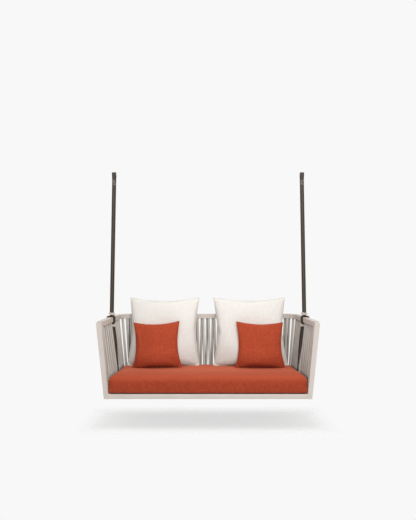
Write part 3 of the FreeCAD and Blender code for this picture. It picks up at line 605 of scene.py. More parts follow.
def take(shape: Shape, name: str, material: Material) -> Piece:
    """Turn a bmesh into a smooth piece of the scene.

    Args:
        shape: The bmesh, which is freed.
        name: Name of the piece.
        material: Its finish.

    Returns:
        The new object, at the origin.
    """
    for face in shape.faces:
        face.smooth = True
    mesh = bpy.data.meshes.new(name)
    shape.to_mesh(mesh)
    shape.free()
    mesh.materials.append(material)
    piece = bpy.data.objects.new(name, mesh)
    bpy.context.scene.collection.objects.link(piece)
    return piece


def copy_of(node: Piece) -> Shape:
    """Copy a node of the frame, with the points of its loose triangles merged.

    Args:
        node: The node's object.

    Returns:
        The copy.
    """
    shape = bmesh.new()
    shape.from_mesh(node.data)
    bmesh.ops.remove_doubles(shape, verts=shape.verts[:], dist=MERGE_DISTANCE)
    return shape


def soften(shape: Shape, radius: float, segments: int,
           chosen: Callable[[Edge], bool] = lambda edge: True) -> None:
    """Round the sharp edges of a shape.

    Args:
        shape: The bmesh.
        radius: How far back from an edge the rounding starts.
        segments: Faces across a rounding.
        chosen: Test that an edge has to pass.
    """
    bmesh.ops.dissolve_limit(shape, angle_limit=FLAT_ANGLE, verts=shape.verts[:], edges=shape.edges[:])
    sharp = [edge for edge in shape.edges
             if edge.is_manifold and edge.calc_face_angle() > SHARP_ANGLE and chosen(edge)]
    bmesh.ops.bevel(shape, geom=sharp, offset=radius, offset_type="OFFSET", segments=segments, profile=0.5,
                    affect="EDGES", clamp_overlap=True, material=-1)


def relax(shape: Shape, verts: list[bmesh.types.BMVert], rounds: int, along_x: bool = True) -> None:
    """Draw points towards their neighbours.

    Args:
        shape: The bmesh.
        verts: The points.
        rounds: How often.
        along_x: Whether they move along X too.
    """
    for _ in range(rounds):
        bmesh.ops.smooth_vert(shape, verts=verts, factor=RELAX_FACTOR, use_axis_x=along_x, use_axis_y=True,
                              use_axis_z=True)


def lay_out(shape: Shape, across: Layer, along: Layer,
            turn: float = 0.0) -> None:
    """Write a UV map from two vertex layers.

    Args:
        shape: The bmesh.
        across: Layer for U.
        along: Layer for V.
        turn: Full turn of U on a round profile, or 0 where U doesn't close.
    """
    chart = shape.loops.layers.uv.new("cut")
    for face in shape.faces:
        values = [loop.vert[across] for loop in face.loops]
        wraps = turn > 0 and max(values) - min(values) > turn / 2
        for loop, value in zip(face.loops, values):
            start = turn if wraps and value < turn / 2 else 0.0
            loop[chart].uv = (value + start, loop.vert[along])


def station(origin: Vector, tangent: Vector, side: Vector) -> Matrix:
    """Place a profile across a path.

    Args:
        origin: Point of the path.
        tangent: Direction of the path, the profile's own Z.
        side: Direction of the profile's own X, square to the path or nearly so.

    Returns:
        The placing matrix.
    """
    forward = tangent.normalized()
    up = forward.cross(side).normalized()
    turned = Matrix((up.cross(forward), up, forward)).transposed().to_4x4()
    turned.translation = origin
    return turned


class Sweep:
    """A piece that is extruded along paths, with its ways across and along on vertex layers."""

    def __init__(self, turn: float = 0.0) -> None:
        """Start an empty piece.

        Args:
            turn: Full turn of a round profile, or 0 for a flat one.
        """
        self.turn = turn
        self.closed = False
        self.shape = bmesh.new()
        layers = self.shape.verts.layers.float
        self.across = layers.new("around" if turn else "across")
        self.along = layers.new("along")

    def circle(self, radius: float, sides: int) -> Edges:
        """Round profile at the origin, whose way across is its turn.

        Args:
            radius: Radius of the circle.
            sides: Count of its edges.

        Returns:
            Edges of the profile.
        """
        verts = bmesh.ops.create_circle(self.shape, cap_ends=False, segments=sides, radius=radius)["verts"]
        for vert in verts:
            vert[self.across] = (math.atan2(vert.co.y, vert.co.x) / FULL_TURN) % 1.0
        return list({edge for vert in verts for edge in vert.link_edges})

    def belt(self, width: float, thickness: float, corner_share: float = 0.4, cuts: int = 5) -> Edges:
        """Flat profile at the origin with round corners, whose way across is in metres.

        Args:
            width: Width along X.
            thickness: Thickness along Y.
            corner_share: Rounding of the corners, as a share of the thickness.
            cuts: Points that divide each long edge.

        Returns:
            Edges of the profile.
        """
        shape = self.shape
        corners = bmesh.ops.create_circle(shape, cap_ends=False, segments=4, radius=1.0)["verts"]
        for vert in corners:
            angle = math.atan2(vert.co.y, vert.co.x) + math.pi / 4
            right = math.copysign(width / 2, math.cos(angle))
            vert.co = (right, math.copysign(thickness / 2, math.sin(angle)), 0)
        bmesh.ops.bevel(shape, geom=corners, offset=thickness * corner_share, offset_type="OFFSET",
                        segments=3, profile=0.5, affect="VERTICES", material=-1)
        long_edges = [edge for edge in shape.edges if edge.calc_length() > width / 2]
        bmesh.ops.subdivide_edges(shape, edges=long_edges, cuts=cuts)
        for vert in shape.verts:
            vert[self.across] = vert.co.x
        return shape.edges[:]

    def run(self, loop: Edges, places: Sequence[Matrix], lengths: Sequence[float]) -> Edges:
        """Extrude a profile, which lies at the origin, from station to station.

        Args:
            loop: Edges of the profile.
            places: Place and turn of the profile at each station.
            lengths: Way along the path at each station.

        Returns:
            Edges of the profile at the last station.
        """
        verts = list({vert for edge in loop for vert in edge.verts})
        edges = loop
        before = Matrix.Identity(4)
        for index, (place, length) in enumerate(zip(places, lengths)):
            if index:
                made = bmesh.ops.extrude_edge_only(self.shape, edges=edges)["geom"]
                verts = [item for item in made if isinstance(item, bmesh.types.BMVert)]
                edges = [item for item in made if isinstance(item, Edge) and item.is_boundary]
            bmesh.ops.transform(self.shape, matrix=place @ before.inverted(), verts=verts)
            for vert in verts:
                vert[self.along] = length
            before = place
        return edges

    def follow(self, loop: Edges, path: Sequence[Vector], side: Vector, turns: Sequence[float] = (),
               closed: bool = False) -> float:
        """Extrude a profile along a path, and cap its ends if it has any.

        Args:
            loop: Edges of the profile.
            path: Points of the path, with the first one again at the end of a closed path.
            side: Direction of the profile's own X, square to the path or nearly so.
            turns: Turn of that direction about the vertical at each point, if it turns.
            closed: Whether the path is closed.

        Returns:
            Length of the path.
        """
        self.closed = closed
        last = len(path) - 1
        lengths, places = [0.0], []
        for index, point in enumerate(path):
            after = path[1] if closed and index == last else path[min(index + 1, last)]
            before = path[last - 1] if closed and index == 0 else path[max(index - 1, 0)]
            width = Matrix.Rotation(turns[index], 3, "Z") @ side if turns else side
            places.append(station(point, after - before, width))
            if index:
                lengths.append(lengths[-1] + (point - path[index - 1]).length)
        first = loop[:]
        end = self.run(loop, places, lengths)
        if not closed:
            bmesh.ops.holes_fill(self.shape, edges=first + end)
        return lengths[-1]

    def finish(self) -> Shape:
        """Write the UV map and turn the faces outwards.

        Returns:
            The finished shape.
        """
        lay_out(self.shape, self.across, self.along, self.turn)
        if self.closed:
            bmesh.ops.remove_doubles(self.shape, verts=self.shape.verts[:], dist=MERGE_DISTANCE)
        bmesh.ops.recalc_face_normals(self.shape, faces=self.shape.faces[:])
        return self.shape


def closed_cord(path: list[Vector], diameter: float, sides: int, side: Vector) -> Shape:
    """A round cord along a closed path.

    Args:
        path: Points of its middle line, without a repeat at the end.
        diameter: Diameter of the cord.
        sides: Faces around it.
        side: Direction that is square to the path, or nearly so.

    Returns:
        The cord.
    """
    cord = Sweep(turn=1.0)
    cord.follow(cord.circle(diameter / 2, sides), path + path[:1], side, closed=True)
    return cord.finish()


def points_of(mesh: bpy.types.Mesh) -> np.ndarray:
    """Points of a mesh, one row each."""
    points = np.empty(len(mesh.vertices) * 3, np.float32)
    mesh.vertices.foreach_get("co", points)
    return points.reshape(-1, 3)


def put_points(mesh: bpy.types.Mesh, points: np.ndarray) -> None:
    """Give a mesh new points, one row each."""
    mesh.vertices.foreach_set("co", points.astype(np.float32).ravel())
    mesh.update()


def press(piece: Piece, surface: BVHTree, direction: Vector, gap: float) -> int:
    """Push the points of a soft piece back out of what it rests on.

    Args:
        piece: The soft piece, with its place in its mesh.
        surface: What it rests on.
        direction: Way that the piece presses.
        gap: Clearance that is left.

    Returns:
        Count of points that moved.
    """
    moved = 0
    for vert in piece.data.vertices:
        start = vert.co - direction * PRESS_START
        hit, _, _, distance = surface.ray_cast(start, direction, PRESS_START + PRESS_DEPTH)
        if hit is not None and distance < PRESS_START + gap:
            vert.co = hit - direction * gap
            moved += 1
    return moved


def tree_of(*pieces: Piece) -> BVHTree:
    """Search tree of the meshes of pieces, which lie in the frame."""
    shape = bmesh.new()
    for piece in pieces:
        shape.from_mesh(piece.data)
    tree = BVHTree.FromBMesh(shape)
    shape.free()
    return tree


def smooth_over(piece: Piece, levels: int = 1) -> None:
    """Add a subdivision surface to a piece."""
    modifier = piece.modifiers.new("soften", "SUBSURF")
    modifier.levels = levels
    modifier.render_levels = levels


@dataclass(frozen=True)
class Stuffing:
    """Filling that swells a sewn cover from inside."""

    pressure: float
    frames: int = 22
    tension: float = 40.0
    bending: float = 0.5
    mass: float = 0.25

    def swell(self, piece: Piece) -> None:
        """Simulate the cover as cloth under pressure, and keep the result in its mesh.

        Args:
            piece: The cover, as a closed mesh.
        """
        scene = bpy.context.scene
        cloth = piece.modifiers.new("stuffing", "CLOTH")
        settings = cloth.settings
        settings.quality = 5
        settings.mass = self.mass
        settings.tension_stiffness = self.tension
        settings.compression_stiffness = self.tension
        settings.shear_stiffness = self.tension / 3
        settings.bending_stiffness = self.bending
        settings.air_damping = 2.0
        settings.use_pressure = True
        settings.uniform_pressure_force = self.pressure
        settings.effector_weights.gravity = 0.0
        cloth.point_cache.frame_start = 1
        cloth.point_cache.frame_end = self.frames
        for frame in range(1, self.frames + 1):
            scene.frame_set(frame)
        shown = piece.evaluated_get(bpy.context.evaluated_depsgraph_get())
        result = bpy.data.meshes.new_from_object(shown)
        piece.modifiers.remove(cloth)
        put_points(piece.data, points_of(result))
        bpy.data.meshes.remove(result)
        scene.frame_set(1)


# The bench


@dataclass
class SubAssembly:
    """A group of pieces that dress nodes of the frame."""

    nodes: Nodes
    palette: Palette


@dataclass
class PaintedFrame(SubAssembly):
    """Rails and posts with rounded edges, and the fittings that hold ropes and deck."""

    rail_rounding: float = 0.006
    tube_rounding: float = 0.014
    inner_rounding: float = 0.007
    lip_rounding: float = 0.0009
    long_edge: float = 0.3
    back_post_share: float = 0.62
    back_post_shift: Span = (0.003, 0.002)
    fitting_finishes: tuple[tuple[str, str], ...] = (
        ("keeper", "keeper"), ("ledge", "fitting"), ("clamp_blocks", "fitting"), ("screws", "steel"),
        ("bolt", "steel"), ("thimble", "steel"))

    def build(self) -> None:
        """Dress every rigid piece of the frame."""
        for node in ("top_rail", "base_rail"):
            self.rail(node)
        for side in Side:
            self.tube(f"{side.word}_front_post")
            self.back_post(side)
        self.tube("base_front_rail")
        self.fittings()

    def rail(self, node: str) -> None:
        """A bent rail, rounded along its closed face.

        Args:
            node: The rail's node.
        """
        low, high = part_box(node)
        closed = high.z if node == "top_rail" else low.z
        shape = copy_of(self.nodes[node])

        def on_closed_face(edge: Edge) -> bool:
            """Whether an edge lies on the rail's closed face."""
            return all(abs(vert.co.z - closed) < MERGE_DISTANCE for vert in edge.verts)

        soften(shape, self.rail_rounding, segments=4, chosen=on_closed_face)
        self.keep(shape, node)

    def tube(self, node: str) -> None:
        """A straight tube: wide rounding along its front, narrow where it meets another tube.

        Args:
            node: The tube's node.
        """
        low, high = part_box(node)
        shape = copy_of(self.nodes[node])

        def is_long(edge: Edge) -> bool:
            """Whether an edge runs the length of the tube's front, away from its neighbour."""
            middle = (edge.verts[0].co + edge.verts[1].co) / 2
            inside = "post" in node and abs(middle.x) < (abs(low.x) + abs(high.x)) / 2
            return edge.calc_length() > self.long_edge and middle.y < (low.y + high.y) / 2 and not inside

        def is_free(edge: Edge) -> bool:
            """Whether an edge lies clear of the tube's back."""
            return any(vert.co.y < high.y - self.inner_rounding for vert in edge.verts)

        soften(shape, self.tube_rounding, segments=6, chosen=is_long)
        soften(shape, self.inner_rounding, segments=3, chosen=is_free)
        self.keep(shape, node)

    def back_post(self, side: Side) -> None:
        """A slim corner post between the ropes.

        Args:
            side: Side of the bench.
        """
        node = f"{side.word}_back_post"
        low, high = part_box(node)
        shape = copy_of(self.nodes[node])
        ends = []
        for level in (low.z, high.z):
            ring = [vert.co for vert in shape.verts if abs(vert.co.z - level) < MERGE_DISTANCE]
            ends.append(sum(ring, Vector()) / len(ring))
        shift = Vector((-side.value * self.back_post_shift[0], self.back_post_shift[1], 0))
        for vert in shape.verts:
            axis = ends[0].lerp(ends[1], (vert.co.z - low.z) / (high.z - low.z))
            vert.co = axis + (vert.co - axis) * self.back_post_share + shift
        soften(shape, self.lip_rounding, segments=4)
        self.keep(shape, node)

    def keep(self, shape: Shape, node: str) -> None:
        """Take a rounded copy as the piece that stands for its node.

        Args:
            shape: The rounded copy.
            node: The node that it stands for.
        """
        piece = take(shape, f"{node}_coated", self.palette["frame"])
        piece.data.set_sharp_from_angle(angle=SHARP_ANGLE)
        weighted = piece.modifiers.new("even_shading", "WEIGHTED_NORMAL")
        weighted.keep_sharp = True
        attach(piece, Body.BENCH.value)
        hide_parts(node)
        LOG.info("%s: %d faces", piece.name, len(piece.data.polygons))

    def fittings(self) -> None:
        """Give the hidden fittings their finishes."""
        for name, node in self.nodes.items():
            for word, finish in self.fitting_finishes:
                if word in name:
                    node.data.materials.clear()
                    node.data.materials.append(self.palette[finish])


@dataclass
class RopeWalls(SubAssembly):
    """Braided ropes between the rails, in an inner and an outer layer."""

    sides: int = 14
    rings: int = 5
    stagger: float = 0.137
    spreads: tuple[tuple[str, Triple], ...] = (
        ("arm", (1.0, 0.94, 1.0)), ("corner", (1.0, 1.0, 1.0)), ("back", (1.17, 1.0, 1.0)))

    def build(self) -> None:
        """Make one piece for each node of ropes."""
        for name in sorted(node for node in self.nodes if "_ropes_" in node):
            self.wall(name)

    def axes(self, node: str) -> list[tuple[Vector, Vector]]:
        """Lower and upper end of each rope of a node.

        Args:
            node: The node.

        Returns:
            The ends of each rope's axis.
        """
        shape = copy_of(self.nodes[node])
        waiting = set(shape.verts)
        found = []
        while waiting:
            island, reached = set(), [next(iter(waiting))]
            while reached:
                vert = reached.pop()
                if vert not in island:
                    island.add(vert)
                    reached += [edge.other_vert(vert) for edge in vert.link_edges]
            waiting -= island
            middle = sum(vert.co.z for vert in island) / len(island)
            ends = []
            for above in (False, True):
                ring = [vert.co for vert in island if (vert.co.z > middle) == above]
                ends.append(sum(ring, Vector()) / len(ring))
            found.append((ends[0], ends[1]))
        shape.free()
        return sorted(found, key=lambda ends: (ends[0].x, ends[0].y))

    def wall(self, node: str) -> None:
        """Ropes of one node.

        Args:
            node: The node.
        """
        ropes = Sweep(turn=1.0)
        low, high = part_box(node)
        solids = self.axes(node)
        radius = self.radius(node, solids[0][0])
        flat = next(size for word, size in self.spreads if word in node)
        shares = [ring / (self.rings - 1) for ring in range(self.rings)]
        for index, (foot, head) in enumerate(solids):
            loop = ropes.circle(radius, self.sides)
            ring = list({vert for edge in loop for vert in edge.verts})
            bmesh.ops.scale(ropes.shape, vec=flat, verts=ring)
            places = [Matrix.Translation(foot.lerp(head, share)) for share in shares]
            lengths = [index * self.stagger + (head - foot).length * share for share in shares]
            ropes.run(loop, places, lengths)
        piece = take(ropes.finish(), f"{node}_braided", self.palette["rope"])
        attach(piece, Body.BENCH.value)
        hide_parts(node)
        LOG.info("%s: %d ropes between %.3f and %.3f m", piece.name, len(solids), low.z, high.z)

    def radius(self, node: str, foot: Vector) -> float:
        """Radius of a node's ropes, read from one of them.

        Args:
            node: The node.
            foot: Lower end of that rope's axis.

        Returns:
            The radius.
        """
        return min((vert.co - foot).xy.length for vert in self.nodes[node].data.vertices
                   if abs(vert.co.z - foot.z) < MERGE_DISTANCE)


@dataclass
class Straps(SubAssembly):
    """The two belts: a sewn eye, a run of two plies, a sling round the rail, and a twisted tail."""

    width: float = 0.028
    fullness: float = 1.14
    thickness: float = 0.009
    eye_radius: float = 0.00905
    throat: float = 0.046
    ply_gap: float = 0.0004
    run_steps: int = 44
    eye_steps: int = 24
    bend_reach: float = 0.022
    tuck: float = 0.028
    tail_bow: float = 0.011
    tail_steps: int = 40
    tail_rise: Span = (0.6, 2.0)
    tail_fall: float = 4.0
    stitch_rows: int = 5
    stitch_columns: int = 6
    stitch_pitch: float = 0.008
    stitch_span: float = 0.74
    stitch_radii: Triple = (0.0009, 0.0005, 0.0023)
    sling_rounding: float = 0.3
    sling_widths: tuple[Span, ...] = ((-0.018, 0.011), (0.0, 0.026), (0.036, 0.044), (0.042, 0.036),
                                      (0.0505, 0.010))

    def build(self) -> None:
        """Make both straps."""
        for side in Side:
            self.plies(side)
            self.stitching(side)
            self.sling(side)
            self.tail(side)

    @staticmethod
    def middle_x(node: str) -> float:
        """Middle of a node along X."""
        low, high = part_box(node)
        return (low.x + high.x) / 2

    def outer_x(self, node: str, side: Side) -> float:
        """Middle of a belt along X where its node reaches furthest out.

        Args:
            node: The node.
            side: Side of the bench.

        Returns:
            The place along X.
        """
        low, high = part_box(node)
        return high.x - self.width / 2 if side is Side.RIGHT else low.x + self.width / 2

    def plies(self, side: Side) -> None:
        """One long belt, up in front, round the thimble and down behind.

        Args:
            side: Side of the bench.
        """
        node = f"{side.word}_strap"
        foot_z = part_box(node)[0].z
        eye_x = self.middle_x(f"{side.word}_thimble")
        foot_x = self.outer_x(node, side)
        ply = self.thickness / 2 - self.ply_gap / 2
        offset = self.thickness / 4 + self.ply_gap / 4
        ring = self.eye_radius + ply / 2
        bottom = foot_z - self.tuck

        def lean(height: float) -> float:
            """Place along X at a height: the belts lean outwards below the eye."""
            share = max(0.0, (-height - self.throat) / (-foot_z - self.throat))
            return eye_x + (foot_x - eye_x) * share

        touch = math.asin((ring - offset) / self.throat)
        front = [Vector((0, -offset, bottom + (-self.throat - bottom) * index / self.run_steps))
                 for index in range(self.run_steps + 1)]
        turns = [math.pi + touch - (math.pi + 2 * touch) * index / self.eye_steps
                 for index in range(self.eye_steps + 1)]
        loop = [Vector((0, ring * math.cos(turn), ring * math.sin(turn))) for turn in turns]
        back = [Vector((0, -point.y, point.z)) for point in reversed(front)]
        path = front + loop + back
        for point in path:
            point.x = lean(point.z)
        self.ribbon(f"{node}_belt", path, ply, node, bend_at=foot_z)

    def ribbon(self, name: str, path: Sequence[Vector], thickness: float, node: str,
               bend_at: float | None = None, turns: Sequence[float] = ()) -> None:
        """A belt along a path.

        Args:
            name: Name of the piece.
            path: Points of its middle line.
            thickness: Its thickness.
            node: Node that it stands for.
            bend_at: Height where it bends from the straps to the bench, if it does.
            turns: Turn of its width about the vertical at each point, if it twists.
        """
        belt = Sweep()
        length = belt.follow(belt.belt(self.width * self.fullness, thickness), path, ALONG_X, turns)
        piece = take(belt.finish(), name, self.palette["belt"])
        piece.data.set_sharp_from_angle(angle=BELT_CREASE)
        if bend_at is None:
            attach(piece, Body.BENCH.value)
        else:
            x = path[0].x
            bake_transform(piece, Body.STRAPS.value, Body.BENCH.value, start=(x, 0, bend_at + self.bend_reach),
                     end=(x, 0, bend_at - self.bend_reach / 2))
        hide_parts(node)
        LOG.info("%s: %.3f m of belt", name, length)

    def stitching(self, side: Side) -> None:
        """Rows of thread that close the eye, on both faces of the belt.

        Args:
            side: Side of the bench.
        """
        eye_x = self.middle_x(f"{side.word}_thimble")
        flat = Matrix.Diagonal((*self.stitch_radii, 1.0))
        shape = bmesh.new()
        for row in range(self.stitch_rows):
            height = -self.throat - self.stitch_pitch * (row + 1)
            for column in range(self.stitch_columns):
                share = column / (self.stitch_columns - 1) - 0.5
                place = eye_x + share * self.width * self.stitch_span
                for face in (-1, 1):
                    spot = Matrix.Translation((place, face * self.thickness / 2, height))
                    bmesh.ops.create_icosphere(shape, subdivisions=1, radius=1.0, matrix=spot @ flat)
        piece = take(shape, f"{side.word}_strap_stitches", self.palette["cord"])
        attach(piece, Body.STRAPS.value)

    def sling(self, side: Side) -> None:
        """The belt's halves round the rail.

        Args:
            side: Side of the bench.
        """
        node = f"{side.word}_strap_sling"
        shape = copy_of(self.nodes[node])
        rail_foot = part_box("top_rail")[0].z
        heights, widths = zip(*self.sling_widths)
        for vert in shape.verts:
            vert.co.y *= float(np.interp(vert.co.z - rail_foot, heights, widths)) / self.thickness
        soften(shape, self.thickness * self.sling_rounding, segments=3)
        across = shape.verts.layers.float.new("across")
        along = shape.verts.layers.float.new("along")
        centre_x = self.middle_x(node)
        for vert in shape.verts:
            vert[across] = vert.co.y
            vert[along] = vert.co.z + vert.co.x - centre_x
        lay_out(shape, across, along)
        piece = take(shape, f"{node}_belt", self.palette["belt"])
        piece.data.set_sharp_from_angle(angle=SLING_CREASE)
        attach(piece, Body.BENCH.value)
        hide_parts(node)

    def tail(self, side: Side) -> None:
        """The belt's lower run, which turns by a quarter on its way to the base.

        Args:
            side: Side of the bench.
        """
        node = f"{side.word}_strap_tail"
        low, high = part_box(node)
        foot_x = self.middle_x(f"{side.word}_clamp_bolt")
        head = Vector((self.outer_x(node, side), 0, high.z + self.tuck))
        foot = Vector((foot_x, 0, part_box("base_rail")[1].z))
        shares = [index / self.tail_steps for index in range(self.tail_steps + 1)]
        path = [head.lerp(foot, share) for share in shares] + [Vector((foot_x, 0, low.z))]
        start, rise = self.tail_rise
        for point, share in zip(path, shares):
            bow = self.tail_bow * min(1.0, start + rise * share) * min(1.0, self.tail_fall * (1 - share))
            point.x -= side.value * bow
        turns = [side.value * math.pi / 4 * (1 - math.cos(math.pi * share)) for share in shares]
        self.ribbon(f"{node}_belt", path, self.thickness, node, turns=turns + turns[-1:])


@dataclass
class Bindings(SubAssembly):
    """Light cord wound round each strap, above and below the rail."""

    cord: float = 0.009
    gap: float = 0.0005
    turns: int = 2
    belt_width: float = 0.028
    belt_thickness: float = 0.009
    clearance: float = 0.0003
    corner_points: int = 10
    sides: int = 12
    lower_shift: float = 0.007

    def build(self) -> None:
        """Make all four windings."""
        for side in Side:
            for level in ("upper", "lower"):
                self.winding(f"{side.word}_{level}_binding")

    def route(self, start: Vector) -> list[Vector]:
        """Middle line of the cord: straight on both faces of the belt, round at its edges.

        Args:
            start: Centre of the belt at the height of the cord's first point.

        Returns:
            Points of the route.
        """
        corner = math.hypot(self.belt_thickness / 2, self.belt_thickness / 2)
        radius = corner + self.clearance + self.cord / 2
        run = self.belt_width - self.belt_thickness
        half = [Vector((-run / 2, radius, 0)), Vector((0, radius, 0))]
        for index in range(self.corner_points + 1):
            angle = math.pi * index / self.corner_points
            half.append(Vector((run / 2 + radius * math.sin(angle), radius * math.cos(angle), 0)))
        points = []
        for count in range(2 * self.turns + 1):
            side = -1 if count % 2 else 1
            used = half if count < 2 * self.turns else half[:2]
            points += [Vector((side * point.x, side * point.y, 0)) for point in used]
        climb = (self.cord + self.gap) / (2 * run + FULL_TURN * radius)
        length = 0.0
        for index, point in enumerate(points):
            if index:
                length += (point - points[index - 1]).xy.length
            point.z = length * climb
        return [point + start for point in points]

    def winding(self, node: str) -> None:
        """One winding of cord.

        Args:
            node: The node that it stands for.
        """
        low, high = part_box(node)
        start = Vector(((low.x + high.x) / 2, 0, low.z + self.cord / 2))
        if "lower" in node:
            start.x -= math.copysign(self.lower_shift, start.x)
        cord = Sweep(turn=1.0)
        length = cord.follow(cord.circle(self.cord / 2, self.sides), self.route(start), ALONG_Z)
        piece = take(cord.finish(), f"{node}_cord", self.palette["cord"])
        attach(piece, Body.BENCH.value)
        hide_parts(node)
        LOG.info("%s: %.3f m of cord", piece.name, length)


@dataclass
class SeatDeck(SubAssembly):
    """Webbing under the seat cushion."""

    rounding: float = 0.0008

    def build(self) -> None:
        """Soften the edges of both layers of webbing."""
        for node in ("deck_cross_webs", "deck_long_webs"):
            shape = copy_of(self.nodes[node])
            soften(shape, self.rounding, segments=2)
            piece = take(shape, f"{node}_woven", self.palette["webbing"])
            piece.data.set_sharp_from_angle(angle=SHARP_ANGLE)
            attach(piece, Body.BENCH.value)
            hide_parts(node)


@dataclass
class SeatCushion(SubAssembly):
    """The long seat cushion: a foam block in a cover, with piping, and a dark sheet below that paints the
    shade of the gap.
    """

    voxel: float = 0.010
    swell_cap: float = 0.003
    back_fall: float = 0.022
    flare: float = 0.014
    ear: Span = (0.012, 0.018)
    ear_place: float = 0.055
    ear_reach: float = 0.05
    hem: float = 0.0035
    crown: float = 0.004
    front_crown: float = 0.012
    front_crown_place: float = 0.13
    front_crown_reach: float = 0.15
    flat_foot: float = 0.011
    square_foot: float = 0.030
    crest: float = 0.060
    ease_rounds: int = 5
    crest_rounds: int = 19
    front_ease_rounds: int = 16
    front_reach: float = 0.13
    unevenness: float = 0.0022
    ripples: Triple = (5.0, 6.0, 9.0)
    piping: float = 0.0056
    piping_height: float = 0.004
    piping_points: int = 220
    piping_sides: int = 8
    core_inset: float = 0.10
    shade_sheet_inset: float = 0.005
    shade_sheet_drop: float = 0.0018
    shade_sheet_lap: float = 0.002
    shade_sheet_rounding: float = 0.002
    stuffing: Stuffing = Stuffing(pressure=3.0, frames=12, tension=30.0, bending=3.0)

    def build(self) -> Piece:
        """Make the cushion.

        Returns:
            The cushion.
        """
        piece = take(self.block(), "seat_cushion_cover", self.palette["seat"])
        remesh = piece.modifiers.new("even_grid", "REMESH")
        remesh.mode = "VOXEL"
        remesh.voxel_size = self.voxel
        shown = piece.evaluated_get(bpy.context.evaluated_depsgraph_get())
        grid = bpy.data.meshes.new_from_object(shown)
        piece.modifiers.remove(remesh)
        piece.data = grid
        self.settle(piece)
        self.ease(piece)
        for face in piece.data.polygons:
            face.use_smooth = True
        self.trim(piece)
        self.shade_sheet()
        smooth_over(piece)
        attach(piece, Body.BENCH.value)
        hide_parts("seat_cushion")
        LOG.info("seat cushion: %d points", len(piece.data.vertices))
        return piece

    def block(self) -> Shape:
        """The foam block: flat below, and higher in front than behind.

        Returns:
            The block.
        """
        low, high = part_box("seat_cushion")
        middle = (low + high) / 2
        shape = bmesh.new()
        bmesh.ops.create_cube(shape, size=2.0)
        bmesh.ops.scale(shape, vec=(high - low) / 2, verts=shape.verts[:])
        bmesh.ops.translate(shape, vec=middle, verts=shape.verts[:])
        behind = [vert for vert in shape.verts if vert.co.y > middle.y and vert.co.z > middle.z]
        bmesh.ops.translate(shape, vec=(0, 0, -self.back_fall), verts=behind)
        return shape

    def settle(self, piece: Piece) -> None:
        """Swell the cover a little, by no more than a cap.

        Args:
            piece: The cushion.
        """
        start = points_of(piece.data)
        self.stuffing.swell(piece)
        step = points_of(piece.data) - start
        length = np.linalg.norm(step, axis=1, keepdims=True)
        step *= np.minimum(1.0, self.swell_cap / np.maximum(length, 1e-9))
        put_points(piece.data, start + step)

    def ease(self, piece: Piece) -> None:
        """Draw the upper edges into soft curves, widest in front, then fill the cushion's box again.

        Args:
            piece: The cushion.
        """
        low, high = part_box("seat_cushion")
        shape = bmesh.new()
        shape.from_mesh(piece.data)
        upper = [vert for vert in shape.verts if vert.co.z > low.z + self.square_foot]
        crest = [vert for vert in upper if vert.co.z > low.z + self.crest]
        brow = [vert for vert in upper if vert.co.y < low.y + self.front_reach]
        relax(shape, upper, self.ease_rounds)
        relax(shape, crest, self.crest_rounds, along_x=False)
        relax(shape, brow, self.front_ease_rounds, along_x=False)
        shape.normal_update()
        for vert in shape.verts:
            ripple = noise.noise(Vector([place * pace for place, pace in zip(vert.co, self.ripples)]))
            vert.co += vert.normal * ripple * self.unevenness
        places = np.array([vert.co for vert in shape.verts])
        least, most = places.min(axis=0), places.max(axis=0)
        height = high.z - low.z
        stretch = (height + self.crown - self.hem) / (height - self.flat_foot)
        for vert in shape.verts:
            share = [(vert.co[axis] - least[axis]) / (most[axis] - least[axis]) for axis in range(3)]
            vert.co = [low[axis] + (high[axis] - low[axis]) * share[axis] for axis in range(3)]
            ahead = min(1.0, max(0.0, 1 - (vert.co.y - low.y - self.ear_place) / self.ear_reach))
            ear = self.ear[0] + (self.ear[1] - self.ear[0]) * share[2]
            vert.co.x *= 1 + (self.flare * share[2] * (1 - ahead) + ear * ahead) / high.x
            away = (vert.co.y - low.y - self.front_crown_place) / self.front_crown_reach
            fullness = 1 + self.front_crown / height * math.exp(-away * away)
            vert.co.z = low.z + self.hem + max(0.0, vert.co.z - low.z - self.flat_foot) * stretch * fullness
        shape.to_mesh(piece.data)
        shape.free()
        piece.data.update()

    def trim(self, piece: Piece) -> None:
        """Sew a piping cord round the lower edge.

        Args:
            piece: The cushion.
        """
        low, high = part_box("seat_cushion")
        tree = tree_of(piece)
        half_y = (high.y - low.y) / 2
        middle = Vector((0, (low.y + high.y) / 2, low.z + self.hem + self.piping_height))
        reach_x, reach_y = high.x - self.core_inset, half_y - self.core_inset
        path = []
        for index in range(self.piping_points):
            angle = FULL_TURN * index / self.piping_points
            direction = Vector((math.cos(angle), math.sin(angle), 0))
            target = direction / max(abs(direction.x) / high.x, abs(direction.y) / half_y)
            core = Vector((max(-reach_x, min(reach_x, target.x)), max(-reach_y, min(reach_y, target.y)), 0))
            hit, _, _, _ = tree.ray_cast(middle + core, (target - core).normalized())
            if hit is not None:
                path.append(hit)
        cord = take(closed_cord(path, self.piping, self.piping_sides, ALONG_Z), "seat_cushion_piping",
                    self.palette["seat"])
        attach(cord, Body.BENCH.value)

